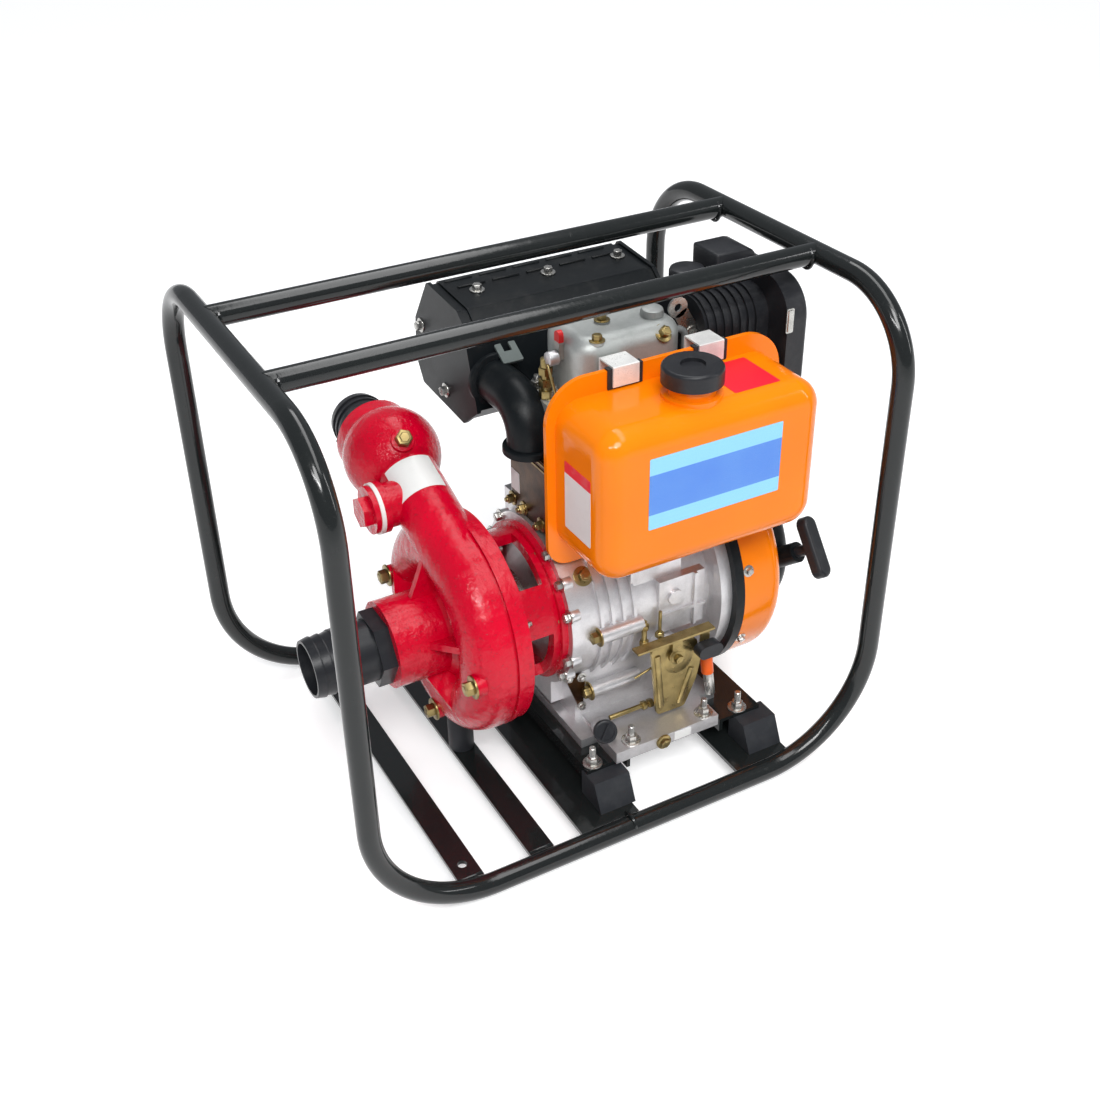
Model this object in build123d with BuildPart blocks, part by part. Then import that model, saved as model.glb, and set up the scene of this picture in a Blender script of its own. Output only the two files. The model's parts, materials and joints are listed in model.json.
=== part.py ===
"""Diesel water pump set: a volute pump driven by an air-cooled diesel engine in a tube frame."""
import os
from math import cos, radians, sin, sqrt

from build123d import *

os.makedirs("parts", exist_ok=True)

# The frame stands on Z = 0, centred on X = 0, Y = 0. The shaft runs along X, the pump at -X.
# Lengths are in millimetres and angles in degrees. Pairs are the two limits along an axis.

# Tube frame
frame_length = 660.0
frame_width = 500.0
frame_height = 590.0
tube_d = 25.0
hoop_bend = 100.0
rail_bend = 144.0
bend_lead = 5.0
top_rail_front_y = -86.0
top_rail_back_y = 97.0
weld_gap = 0.3

# Cross members between the bottom rails
strap_width = 31.0
strap_thickness = 5.0
strap_top = 22.5
strap_x = (-213.0, -123.0)
strap_hole_d = 11.0
strap_hole_inset = 22.0
base_plate_width = 78.0
base_plate_x = (-31.0, 188.0)

# Rubber mounts and the channels that carry the engine
channel_x = (-3.0, 187.0)
channel_width = 60.0
channel_setback = 36.0
channel_depth = 18.0
channel_thickness = 5.0
engine_seat = 62.0
block_x = (-11.0, 203.0)
block_width = 48.0
block_foot = 46.0
block_head = 30.0
block_reach = 226.0

# Shaft line
axis_y = -28.0
axis_z = 213.0
shaft_d = 24.0
shaft_fit = 0.05

# Pump casing: the scroll is a ring of round section, with a rim behind a groove
neck_r = 37.0
neck_x = -121.0
neck_offset = 97.0
neck_rise = 20.0
neck_length = 156.0
neck_inset = 0.3
scroll_right = -98.0
valley_x = -142.0
rim_width = 6.0
rim_groove = 4.0
rim_groove_depth = 4.0
cover_r = 132.0
cover_right = -84.0
boss_r = 53.0
boss_root_r = 61.0
boss_root_x = -150.0
boss_left = -214.0
boss_bore_r = 38.5
suction_bore_r = 31.0
suction_bore_end = -150.0
rib_thickness = 8.0
rib_reach = 98.0
rib_height = 20.0
rib_sink = 5.0
rib_count = 5
branch_at = 121.0
branch_r = 27.0
branch_face = -176.0
branch_flange_r = 31.0
branch_flange_thickness = 8.0
seal_thickness = 5.0
plug_flange_r = 29.0
plug_flange_thickness = 6.5
plug_flats = 34.0
plug_height = 17.0
casing_foot_r = 16.0
casing_foot_x = -123.0
casing_foot_z = 72.0

# Check valve: a round chamber at the end of the neck, with a level outlet
chamber_r = 60.0
chamber_y = 130.0
chamber_z = 363.0
outlet_r = 50.0
outlet_y = 184.0
outlet_round = 10.0
outlet_bore_r = 31.0
outlet_bore_depth = 60.0

# Hose barbs
barb_r = 37.5
barb_crest_r = 36.5
barb_valley_r = 34.5
barb_bore_r = 31.0
barb_teeth = 3
barb_tooth = 11.0
barb_crest = 1.5
barb_shank = 42.0
barb_hex_flats = 80.0
barb_hex_length = 18.0
discharge_hex_length = 14.0
discharge_barb_shank = 12.0
barb_socket = 12.0

# Lantern between the pump and the engine
lantern_right = -21.0
lantern_r = 93.0
lantern_wall = 13.0
lantern_flange_r = 99.0
lantern_flange = 8.0
window_count = 4
window_angle = 52.0
window_turn = 20.0
window_width = 30.0
coupling_r = 46.0
coupling_width = 24.0
coupling_x = -54.0
shaft_seat = 12.0
shaft_end_gap = 2.0

# Crankcase: a ribbed barrel on a foot, with a box behind it up to the cylinder
case_left = -5.0
case_right = 170.0
barrel_r = 108.0
case_rib_x = 16.0
case_rib_pitch = 15.0
case_rib_width = 4.0
case_rib_height = 4.0
case_rib_count = 4
case_box_y = (-112.0, 60.0)
case_tower_y = (-80.0, 60.0)
case_top = 322.0
fan_flange_r = 136.0
fan_flange_left = 168.5
fan_flange_right = 184.0
side_cover_r = 108.5
side_cover_box_y = (-80.0, 40.0)
side_cover_foot_z = 84.0
foot_x = (-18.0, 176.0)
foot_y = (-150.0, 96.0)
foot_height = 12.0
sill_x = (4.0, 150.0)
sill_y = (-196.0, -100.0)
sill_height = 16.0
bolt_boss_upper = (-140.0, 212.0, 10.0)
bolt_boss_upper_x = (12.0, 70.0)
bolt_boss_lower = (-119.0, 117.0, 9.0)
bolt_boss_lower_x = (12.0, 80.0)
pad_x = (96.0, 160.0)
pad_y = (-138.0, -60.0)
pad_z = (184.0, 258.0)
pad_rib = 4.0
pad_rib_x = (144.0, 148.0)
pad_rib_z = (209.0, 213.0)
pad_boss_x = 118.0
pad_boss_z = 232.0
pad_boss_r = 10.0
fuel_pump_x = (62.0, 132.0)
fuel_pump_y = (-128.0, -60.0)
fuel_pump_z = (258.0, 296.0)

# Cylinder, head and rocker cover
cylinder_x = (-16.0, 168.0)
cylinder_y = (-76.0, 24.0)
cylinder_round = 7.0
cylinder_top = 415.0
head_left = 4.0
head_top = 472.0
rocker_x = (28.0, 166.0)
rocker_y = (-72.0, 22.0)
rocker_top = 552.0
rocker_round = 26.0
rocker_crown = 18.0

# Exhaust: the muffler's corners are given as Y and Z
muffler_x = (-40.0, 230.0)
muffler_section = (
    (179.0, 552.0),
    (96.0, 546.0),
    (82.0, 535.0),
    (52.6, 432.5),
    (92.0, 402.0),
    (207.0, 409.0),
    (226.0, 439.0),
    (219.5, 493.0),
)
muffler_round = 5.0
end_rim = 5.0
end_rim_height = 3.0
shield_x = (-26.0, 216.0)
shield_thickness = 2.0
shield_stand_off = 0.3
shield_foot_z = 514.0
elbow_r = 26.0
elbow_z = 442.0
elbow_bend = 30.0
elbow_lap = 20.0
elbow_flange_r = 34.0
elbow_flange_y = (36.0, 46.0)

# Air filter
filter_x = (196.0, 284.0)
filter_y = (-66.0, 46.0)
filter_z = (404.0, 558.0)
filter_round = 34.0
filter_rib = 3.0
filter_rib_pitch = 11.0
filter_rib_count = 7
filter_cover_right = 314.0
filter_cover_y = (-102.0, 58.0)
filter_cover_z = (396.0, 577.0)
filter_cover_round = 46.0
filter_cover_edge = 6.0
intake_box_x = (252.0, 284.0)
intake_box_y = (12.0, 44.0)
intake_box_z = (540.0, 586.0)
duct_width = 62.0
duct_height = 40.0
duct_round = 10.0

# Fuel tank: two pressings joined at a seam flange
tank_x = (-22.0, 264.0)
tank_front = -206.0
tank_back = -78.0
tank_headroom = 81.0
tank_height = 184.0
tank_round = 32.0
tank_edge = 26.0
tank_back_inset = 14.0
tank_back_edge = 8.0
seam_y = -97.0
seam_thickness = 6.0
seam_side = 11.0
seam_over = 23.0
seam_top_round = 50.0
seam_bottom_round = 28.0
filler_x = 117.0
filler_y = -157.0
filler_r = 27.0
filler_height = 27.0
filler_ring_r = 34.0
filler_ring_height = 4.0
filler_root = 30.0
cap_r = 34.5
cap_height = 20.0
cap_grip = 11.0
cap_clearance = 0.3
cap_edge = 4.0
cap_dish_r = 14.0
cap_dish_depth = 4.0
hook_x = (65.0, 176.0)
hook_width = 33.0
hook_thickness = 2.0
hook_leg = 24.0
hook_foot = 372.0
hook_round = 1.5
hook_pad_width = 44.0
hook_pad_thickness = 2.0

# Fan cowl and recoil starter
cowl_right = 258.0
cowl_left = 196.0
cowl_r = 144.0
cowl_plate_r = 146.0
cowl_round = 20.0
cowl_notch_z = 298.0
recoil_right = 300.0
recoil_r = 100.0
recoil_round = 16.0
guide_tip = (290.0, -150.0, 245.0)
guide_yaw = 20.0
guide_rise = 36.0
guide_r = 13.0
guide_length = 54.0
handle_stem_r = 7.0
handle_gap = 20.0
handle_length = 78.0
handle_width = 22.0
handle_thickness = 15.0
handle_turn = 12.0
handle_edge = 5.0

# Speed control: a plate on a post of the crankcase, corners given as X and Z, and its lever
control_y = -158.0
control_thickness = 4.0
control_corners = (
    (71.0, 184.0),
    (136.0, 179.0),
    (143.0, 143.0),
    (138.0, 117.0),
    (122.0, 80.0),
    (82.0, 81.0),
)
control_round = 6.0
control_post_r = 16.0
throttle_x = 106.0
throttle_z = 166.0
throttle_hub_r = 11.0
throttle_arm_width = 14.0
throttle_bar_x = (44.0, 152.0)
throttle_bar_z = (195.0, 198.0)
throttle_bar_depth = 14.0
throttle_tab_x = (140.0, 152.0)
throttle_tab_z = 158.0
throttle_thickness = 4.0
throttle_knob_x = 146.0
throttle_knob_z = 166.0
throttle_knob_length = 34.0
throttle_knob_width = 18.0
throttle_knob_height = 14.0
pin_r = 4.0
pin_fit = 0.05
side_gap = 0.3

# Decompression lever
decomp_y = -30.0
decomp_z = 524.0
decomp_reach = 26.0
decomp_width = 11.0
decomp_thickness = 6.0
decomp_socket = 8.0

# Fuel lines: corners given as X, Y and Z
injection_pipe_r = 3.0
injection_pipe_route = (
    (14.0, -60.0, 472.3),
    (14.0, -60.0, 500.0),
    (-12.0, -87.0, 476.0),
    (-12.0, -87.0, 318.0),
    (97.0, -87.0, 318.0),
    (97.0, -87.0, 305.8),
)
injection_pipe_bends = (9.0, 14.0, 16.0, 9.0)
return_hose_r = 4.0
return_hose_route = (
    (166.3, -46.0, 530.0),
    (181.0, -46.0, 530.0),
    (181.0, -46.0, 463.8),
)
return_hose_bends = 12.0

scroll_r = neck_offset + neck_r
neck_dir = Vector(0, cos(radians(neck_rise)), sin(radians(neck_rise)))
neck_up = Vector(0, -sin(radians(neck_rise)), cos(radians(neck_rise)))
neck_start = Vector(neck_x, axis_y, axis_z) + neck_up * neck_offset
tube_r = tube_d / 2
half_length = frame_length / 2
half_width = frame_width / 2
rail_z = tube_r
top_z = rail_z + frame_height
split_z = rail_z + rail_bend + bend_lead
tank_top = top_z - tube_r - tank_headroom
tank_bottom = tank_top - tank_height


def finish(piece, label):
    """Label a finished sub-part and write it under the same name."""
    piece.part.label = label
    export_step(piece.part, f"parts/{label}.step")


def middle(limits):
    """Half way between two limits."""
    return (limits[0] + limits[1]) / 2


def span(limits):
    """Distance between two limits."""
    return limits[1] - limits[0]


def across(x):
    """Plane square to the shaft at x, with its origin on the shaft line, u along Y and v along Z."""
    return Plane(origin=(x, axis_y, axis_z), x_dir=(0, 1, 0), z_dir=(1, 0, 0))


def side_view(x):
    """Plane square to X with u along Y and v along Z, measured from the floor and the centre."""
    return Plane(origin=(x, 0, 0), x_dir=(0, 1, 0), z_dir=(1, 0, 0))


def front_view(y):
    """Plane square to Y that faces the front, with u along X and v along Z."""
    return Plane(origin=(0, y, 0), x_dir=(1, 0, 0), z_dir=(0, -1, 0))


def block(x, y, z, mode=Mode.ADD):
    """Put a box between two limits on each axis into the part that is being built."""
    with Locations((middle(x), middle(y), middle(z))):
        Box(span(x), span(y), span(z), mode=mode)


def rod(x, y, z, radius, mode=Mode.ADD):
    """Put a cylinder along X between two limits into the part that is being built."""
    with Locations((middle(x), y, z)):
        Cylinder(radius, span(x), rotation=(0, 90, 0), mode=mode)


def bent_tube(corners, bends, radius):
    """Round bar along straight runs with rounded corners."""
    with BuildPart() as tube:
        with BuildLine() as route:
            FilletPolyline(*corners, radius=bends)
        with BuildSketch(Plane(origin=route.line @ 0, z_dir=route.line % 0)):
            Circle(radius)
        sweep()
    return tube


# Frame tubes: two hoops stand on the curved ends of two bottom rails
for side, label in ((-1, "left_hoop"), (1, "right_hoop")):
    hoop_x = side * half_length
    hoop_corners = (
        (hoop_x, -half_width, split_z),
        (hoop_x, -half_width, top_z),
        (hoop_x, half_width, top_z),
        (hoop_x, half_width, split_z),
    )
    finish(bent_tube(hoop_corners, hoop_bend, tube_r), label)


def bottom_rail(side, radius):
    """Bottom rail on one side of the frame, or the room that it takes."""
    rail_y = side * half_width
    corners = (
        (-half_length, rail_y, split_z),
        (-half_length, rail_y, rail_z),
        (half_length, rail_y, rail_z),
        (half_length, rail_y, split_z),
    )
    return bent_tube(corners, rail_bend, radius)


finish(bottom_rail(-1, tube_r), "front_rail")
finish(bottom_rail(1, tube_r), "back_rail")

for rail_y, label in ((top_rail_front_y, "top_rail_front"), (top_rail_back_y, "top_rail_back")):
    with BuildPart() as top_rail:
        rod((-half_length, half_length), rail_y, top_z, tube_r)
        # The ends are coped to sit round the hoops
        with Locations((-half_length, rail_y, top_z), (half_length, rail_y, top_z)):
            Cylinder(tube_r + weld_gap, 2 * tube_d, rotation=(90, 0, 0), mode=Mode.SUBTRACT)
    finish(top_rail, label)

# Cross members, coped round the bottom rails
rail_rooms = [bottom_rail(side, tube_r + weld_gap).part for side in (-1, 1)]
strap_hole_y = half_width - tube_r - strap_hole_inset

with BuildPart() as cross_straps:
    with BuildSketch(Plane.XY.offset(strap_top)):
        for x in strap_x:
            with Locations((x, 0)):
                Rectangle(strap_width, frame_width)
        with Locations((strap_x[0], -strap_hole_y), (strap_x[0], strap_hole_y)):
            Circle(strap_hole_d / 2, mode=Mode.SUBTRACT)
    extrude(amount=-strap_thickness)
    add(rail_rooms, mode=Mode.SUBTRACT)
finish(cross_straps, "cross_straps")

with BuildPart() as base_plates:
    with BuildSketch(Plane.XY.offset(strap_top)):
        for x in base_plate_x:
            with Locations((x, 0)):
                Rectangle(base_plate_width, frame_width)
    extrude(amount=-strap_thickness)
    add(rail_rooms, mode=Mode.SUBTRACT)
finish(base_plates, "base_plates")

channel_reach = block_reach - channel_setback
with BuildPart() as engine_channels:
    for x in channel_x:
        flanges = (x - channel_width / 2, x + channel_width / 2)
        hollow = (flanges[0] + channel_thickness, flanges[1] - channel_thickness)
        reach = (-channel_reach, channel_reach)
        block(flanges, reach, (engine_seat - channel_depth, engine_seat))
        block(hollow, reach, (engine_seat - channel_depth, engine_seat - channel_thickness), Mode.SUBTRACT)
finish(engine_channels, "engine_channels")

# Rubber blocks stand on the base plates, with a sloping outer face, under the channel ends
block_top = engine_seat - channel_thickness
with BuildPart() as rubber_mounts:
    for x, channel in zip(block_x, channel_x):
        for end in (-1, 1):
            with BuildSketch(side_view(x - block_width / 2)):
                with BuildLine():
                    Polyline(
                        (end * block_reach, strap_top),
                        (end * (block_reach - block_foot), strap_top),
                        (end * (block_reach - block_foot), block_top),
                        (end * (block_reach - block_foot + block_head), block_top),
                        close=True,
                    )
                make_face()
            extrude(amount=block_width)
    # The channels' flanges are let into the blocks
    for x in channel_x:
        for side in (-1, 1):
            outer = x + side * (channel_width / 2 + weld_gap)
            inner = x + side * (channel_width / 2 - channel_thickness - weld_gap)
            flange = (min(outer, inner), max(outer, inner))
            block(flange, (-channel_reach - weld_gap, channel_reach + weld_gap),
                  (engine_seat - channel_depth - weld_gap, engine_seat), Mode.SUBTRACT)
finish(rubber_mounts, "rubber_mounts")

# Pump foot: a rubber buffer between the second strap and the casing
with BuildPart() as pump_foot:
    with BuildSketch(Plane.XY.offset(strap_top)):
        with Locations((casing_foot_x, axis_y)):
            Circle(casing_foot_r)
    extrude(amount=casing_foot_z - strap_top)
finish(pump_foot, "pump_foot")


# Pump casing: scroll, suction boss with webs, discharge neck and priming branch
def neck_plane(distance):
    """Plane square to the discharge neck, a distance along it from the point over the shaft."""
    return Plane(origin=neck_start + neck_dir * distance, x_dir=(1, 0, 0), z_dir=neck_dir)


branch_origin = neck_start + neck_dir * branch_at
branch_line = Plane(origin=(branch_face, branch_origin.Y, branch_origin.Z), z_dir=(1, 0, 0))
shaft_line = Axis((0, axis_y, axis_z), (1, 0, 0))
valley_ring_r = neck_offset - sqrt(neck_r**2 - (neck_x - valley_x) ** 2)
groove_left = scroll_right - rim_width - rim_groove
with BuildPart() as pump_casing:
    with BuildSketch(Plane(origin=(0, axis_y, axis_z), x_dir=(1, 0, 0), z_dir=(0, -1, 0))):
        with BuildLine():
            Polyline(
                (valley_x, valley_ring_r),
                (valley_x, boss_root_r),
                (boss_root_x, boss_r),
                (boss_left, boss_r),
                (boss_left, 0),
                (scroll_right, 0),
                (scroll_right, scroll_r),
                (scroll_right - rim_width, scroll_r),
                (scroll_right - rim_width, scroll_r - rim_groove_depth),
                (groove_left, scroll_r - rim_groove_depth),
                (groove_left, scroll_r),
                (neck_x, scroll_r),
            )
            ThreePointArc(
                (neck_x, scroll_r), (neck_x - neck_r, neck_offset), (valley_x, valley_ring_r)
            )
        make_face()
    revolve(axis=shaft_line)
    with BuildSketch(neck_plane(0)):
        Circle(neck_r - neck_inset)
    extrude(amount=neck_length)
    with BuildSketch(branch_line):
        Circle(branch_r)
    extrude(amount=neck_x - branch_face)
    with BuildSketch(branch_line):
        Circle(branch_flange_r)
    extrude(amount=branch_flange_thickness)
    # Webs stiffen the suction boss
    for turn in range(rib_count):
        angle = radians(90 + 360 * turn / rib_count)
        web = Plane(
            origin=(valley_x, axis_y, axis_z),
            x_dir=(0, cos(angle), sin(angle)),
            z_dir=(0, -sin(angle), cos(angle)),
        )
        web_top = valley_x - neck_x + neck_r
        with BuildSketch(web):
            with BuildLine():
                Polyline(
                    (boss_r - rib_sink, 0),
                    (rib_reach, 0),
                    (rib_reach, web_top),
                    (boss_r - rib_sink, web_top + rib_height),
                    close=True,
                )
            make_face()
        extrude(amount=rib_thickness / 2, both=True)
    # Foot pad under the scroll
    with BuildSketch(Plane.XY.offset(casing_foot_z)):
        with Locations((casing_foot_x, axis_y)):
            Circle(casing_foot_r)
    extrude(amount=scroll_r / 2)
    # Suction bore and the socket that takes the barb
    rod((boss_left, suction_bore_end), axis_y, axis_z, suction_bore_r, Mode.SUBTRACT)
    rod((boss_left, boss_left + barb_socket), axis_y, axis_z, boss_bore_r, Mode.SUBTRACT)
    # Seat of the cover, cut square across the root of the neck
    rod((scroll_right, neck_x + 2 * neck_r), axis_y, axis_z, cover_r + weld_gap, Mode.SUBTRACT)
finish(pump_casing, "pump_casing")

with BuildPart() as casing_cover:
    rod((scroll_right, cover_right), axis_y, axis_z, cover_r)
    rod((scroll_right, cover_right), axis_y, axis_z, shaft_d / 2 + shaft_fit, Mode.SUBTRACT)
finish(casing_cover, "casing_cover")

# Priming plug: a hexagon head on a round flange, over a sealing ring
with BuildPart() as priming_seal:
    with BuildSketch(branch_line):
        Circle(branch_flange_r)
    extrude(amount=-seal_thickness)
finish(priming_seal, "priming_seal")

with BuildPart() as priming_plug:
    with BuildSketch(branch_line.offset(-seal_thickness)):
        Circle(plug_flange_r)
    extrude(amount=-plug_flange_thickness)
    with BuildSketch(branch_line.offset(-seal_thickness)):
        RegularPolygon(plug_flats / 2, 6, major_radius=False)
    extrude(amount=-plug_height)
finish(priming_plug, "priming_plug")

# Check valve: the chamber is cut square where the neck ends, with a blind bore in its outlet
with BuildPart() as check_valve:
    with Locations((neck_x, chamber_y, chamber_z)):
        Sphere(chamber_r)
    outlet = Plane(origin=(neck_x, outlet_y, chamber_z), x_dir=(1, 0, 0), z_dir=(0, -1, 0))
    with BuildSketch(outlet):
        Circle(outlet_r)
    extrude(amount=outlet_y - chamber_y)
    fillet(check_valve.edges().sort_by(Axis.Y)[-1], outlet_round)
    with BuildSketch(outlet):
        Circle(outlet_bore_r)
    extrude(amount=outlet_bore_depth, mode=Mode.SUBTRACT)
    split(bisect_by=neck_plane(neck_length), keep=Keep.TOP)
    split(bisect_by=outlet, keep=Keep.TOP)
finish(check_valve, "check_valve")


# Hose barbs: teeth and a plain shank, then a hexagon against the casing
def hose_barb(mouth, shank, hex_length):
    """Barb whose mouth lies on the given plane and that runs back along its normal."""
    teeth_end = barb_teeth * barb_tooth
    shank_end = teeth_end + shank
    with BuildPart() as barb:
        with BuildSketch(Plane(origin=mouth.origin, x_dir=mouth.z_dir, z_dir=mouth.x_dir)):
            with BuildLine():
                outline = [(0, barb_bore_r), (0, barb_valley_r)]
                for tooth in range(barb_teeth):
                    crest = (tooth + 1) * barb_tooth
                    outline.append((crest - barb_crest, barb_crest_r))
                    outline.append((crest, barb_crest_r))
                    outline.append((crest, barb_valley_r if tooth < barb_teeth - 1 else barb_r))
                outline.append((shank_end, barb_r))
                outline.append((shank_end, barb_bore_r))
                Polyline(*outline, close=True)
            make_face()
        revolve(axis=Axis(mouth.origin, mouth.z_dir))
        with BuildSketch(mouth.offset(shank_end)):
            RegularPolygon(barb_hex_flats / 2, 6, major_radius=False)
            Circle(barb_bore_r, mode=Mode.SUBTRACT)
        extrude(amount=hex_length)
    return barb


suction_length = barb_teeth * barb_tooth + barb_shank + barb_hex_length
suction_barb = hose_barb(across(boss_left - suction_length), barb_shank, barb_hex_length)
finish(suction_barb, "suction_barb")

discharge_length = barb_teeth * barb_tooth + discharge_barb_shank + discharge_hex_length
discharge_mouth = Plane(
    origin=(neck_x, outlet_y + discharge_length, chamber_z), x_dir=(1, 0, 0), z_dir=(0, -1, 0)
)
discharge_barb = hose_barb(discharge_mouth, discharge_barb_shank, discharge_hex_length)
finish(discharge_barb, "discharge_barb")

# Lantern: a flanged ring with windows that joins the pump to the crankcase
window_middle = (cover_right + lantern_right) / 2
with BuildPart() as lantern:
    rod((cover_right, lantern_right), axis_y, axis_z, lantern_r)
    rod((lantern_right - lantern_flange, lantern_right), axis_y, axis_z, lantern_flange_r)
    rod((cover_right, lantern_right), axis_y, axis_z, lantern_r - lantern_wall, Mode.SUBTRACT)
    for turn in range(window_count):
        turned = radians(window_turn + 360 * turn / window_count)
        half_angle = radians(window_angle / 2)
        reach = 2 * lantern_r
        with BuildSketch(across(window_middle - window_width / 2)):
            with BuildLine():
                Polyline(
                    (0, 0),
                    (reach * cos(turned - half_angle), reach * sin(turned - half_angle)),
                    (reach * cos(turned + half_angle), reach * sin(turned + half_angle)),
                    close=True,
                )
            make_face()
        extrude(amount=window_width, mode=Mode.SUBTRACT)
finish(lantern, "lantern")

# Drive shaft with its coupling, seen through the lantern
shaft_x = (cover_right - shaft_seat, lantern_right + shaft_seat)
with BuildPart() as drive_shaft:
    rod(shaft_x, axis_y, axis_z, shaft_d / 2)
    rod((coupling_x - coupling_width / 2, coupling_x + coupling_width / 2), axis_y, axis_z, coupling_r)
finish(drive_shaft, "drive_shaft")

# Side cover of the crankcase, with the bearing that takes the shaft
with BuildPart() as gear_cover:
    rod((lantern_right, case_left), axis_y, axis_z, side_cover_r)
    block((lantern_right, case_left), side_cover_box_y, (side_cover_foot_z, axis_z))
    rod((lantern_right, shaft_x[1] + shaft_end_gap), axis_y, axis_z, shaft_d / 2 + shaft_fit, Mode.SUBTRACT)
finish(gear_cover, "gear_cover")


# Crankcase, notched under the tank's seam
def notch_under_tank():
    """Cut the room for the lower edge of the tank out of the part that is being built."""
    block((case_left, cowl_right), (tank_front, tank_back + seam_thickness),
          (cowl_notch_z, axis_z + cowl_plate_r), Mode.SUBTRACT)


with BuildPart() as crankcase:
    rod((case_left, case_right), axis_y, axis_z, barrel_r)
    for number in range(case_rib_count):
        case_rib_left = case_rib_x + number * case_rib_pitch
        rod((case_rib_left, case_rib_left + case_rib_width), axis_y, axis_z, barrel_r + case_rib_height)
    rod((fan_flange_left, fan_flange_right), axis_y, axis_z, fan_flange_r)
    block((case_left, case_right), case_box_y, (engine_seat, axis_z))
    block((case_left, case_right), case_tower_y, (axis_z, case_top))
    # The ribs end under the cylinder
    block((case_left, fan_flange_left), case_tower_y, (case_top, case_top + case_rib_height), Mode.SUBTRACT)
    block(foot_x, foot_y, (engine_seat, engine_seat + foot_height))
    block(sill_x, sill_y, (engine_seat, engine_seat + sill_height))
    for (y, z, radius), x in ((bolt_boss_upper, bolt_boss_upper_x), (bolt_boss_lower, bolt_boss_lower_x)):
        rod(x, y, z, radius)
    # Pad with a cross of ribs, an eye and the post of the speed control
    block(pad_x, pad_y, pad_z)
    block(pad_rib_x, (pad_y[0] - pad_rib, pad_y[0]), pad_z)
    block(pad_x, (pad_y[0] - pad_rib, pad_y[0]), pad_rib_z)
    with BuildSketch(front_view(pad_y[1])):
        with Locations((pad_boss_x, pad_boss_z)):
            Circle(pad_boss_r)
    extrude(amount=pad_y[1] - pad_y[0] + pad_rib)
    block(fuel_pump_x, fuel_pump_y, fuel_pump_z)
    with BuildSketch(front_view(pad_y[1])):
        with Locations((throttle_x, throttle_z)):
            Circle(control_post_r)
    extrude(amount=pad_y[1] - control_y)
    notch_under_tank()
finish(crankcase, "crankcase")

with BuildPart() as cylinder_block:
    with BuildSketch(Plane.XY.offset(case_top)):
        with Locations((middle(cylinder_x), middle(cylinder_y))):
            RectangleRounded(span(cylinder_x), span(cylinder_y), cylinder_round)
    extrude(amount=cylinder_top - case_top)
finish(cylinder_block, "cylinder_block")

head_x = (head_left, cylinder_x[1])
with BuildPart() as cylinder_head:
    with BuildSketch(Plane.XY.offset(cylinder_top)):
        with Locations((middle(head_x), middle(cylinder_y))):
            RectangleRounded(span(head_x), span(cylinder_y), cylinder_round)
    extrude(amount=head_top - cylinder_top)
finish(cylinder_head, "cylinder_head")

with BuildPart() as rocker_cover:
    with BuildSketch(Plane.XY.offset(head_top)):
        with Locations((middle(rocker_x), middle(rocker_y))):
            RectangleRounded(span(rocker_x), span(rocker_y), rocker_round)
    extrude(amount=rocker_top - head_top)
    fillet(rocker_cover.faces().sort_by(Axis.Z)[-1].edges(), rocker_crown)
    rod((rocker_x[0], rocker_x[0] + decomp_socket), decomp_y, decomp_z, pin_r + pin_fit, Mode.SUBTRACT)
finish(rocker_cover, "rocker_cover")


# Muffler: an eight-sided box along X with a perforated shield over its top
def muffler_outline(grow):
    """Section of the muffler, grown outwards by a distance."""
    with BuildSketch(Plane.XY) as outline:
        with BuildLine():
            Polyline(*muffler_section, close=True)
        make_face()
        fillet(outline.vertices(), muffler_round)
        if grow:
            offset(amount=grow)
    return outline.sketch


with BuildPart() as muffler:
    with BuildSketch(side_view(muffler_x[0])):
        add(muffler_outline(-end_rim_height))
    extrude(amount=span(muffler_x))
    for left in (muffler_x[0], muffler_x[1] - end_rim):
        with BuildSketch(side_view(left)):
            add(muffler_outline(0))
        extrude(amount=end_rim)
finish(muffler, "muffler")

# Shield: a bent sheet that stands off the top of the muffler
with BuildPart() as muffler_shield:
    with BuildSketch(side_view(shield_x[0])):
        add(muffler_outline(shield_stand_off + shield_thickness - end_rim_height))
        add(muffler_outline(shield_stand_off - end_rim_height), mode=Mode.SUBTRACT)
    extrude(amount=span(shield_x))
    split(bisect_by=Plane.XY.offset(shield_foot_z), keep=Keep.TOP)
finish(muffler_shield, "muffler_shield")

with BuildPart() as exhaust_elbow:
    elbow_y = middle(cylinder_y)
    elbow_x = head_left - elbow_bend - elbow_r / 2
    muffler_front = min(y for y, z in muffler_section)
    with BuildLine() as elbow_line:
        FilletPolyline(
            (head_left - weld_gap, elbow_y, elbow_z),
            (elbow_x, elbow_y, elbow_z),
            (elbow_x, muffler_front + elbow_lap, elbow_z),
            radius=elbow_bend,
        )
    with BuildSketch(Plane(origin=elbow_line.line @ 0, z_dir=elbow_line.line % 0)):
        Circle(elbow_r)
    sweep()
    with BuildSketch(Plane(origin=(elbow_x, elbow_flange_y[0], elbow_z), x_dir=(1, 0, 0), z_dir=(0, 1, 0))):
        Circle(elbow_flange_r)
    extrude(amount=span(elbow_flange_y))
    with BuildSketch(side_view(muffler_x[0] - elbow_r)):
        add(muffler_outline(weld_gap - end_rim_height))
    extrude(amount=span(muffler_x), mode=Mode.SUBTRACT)
    with BuildSketch(side_view(muffler_x[0] - weld_gap)):
        add(muffler_outline(weld_gap))
    extrude(amount=end_rim + 2 * weld_gap, mode=Mode.SUBTRACT)
finish(exhaust_elbow, "exhaust_elbow")

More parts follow.
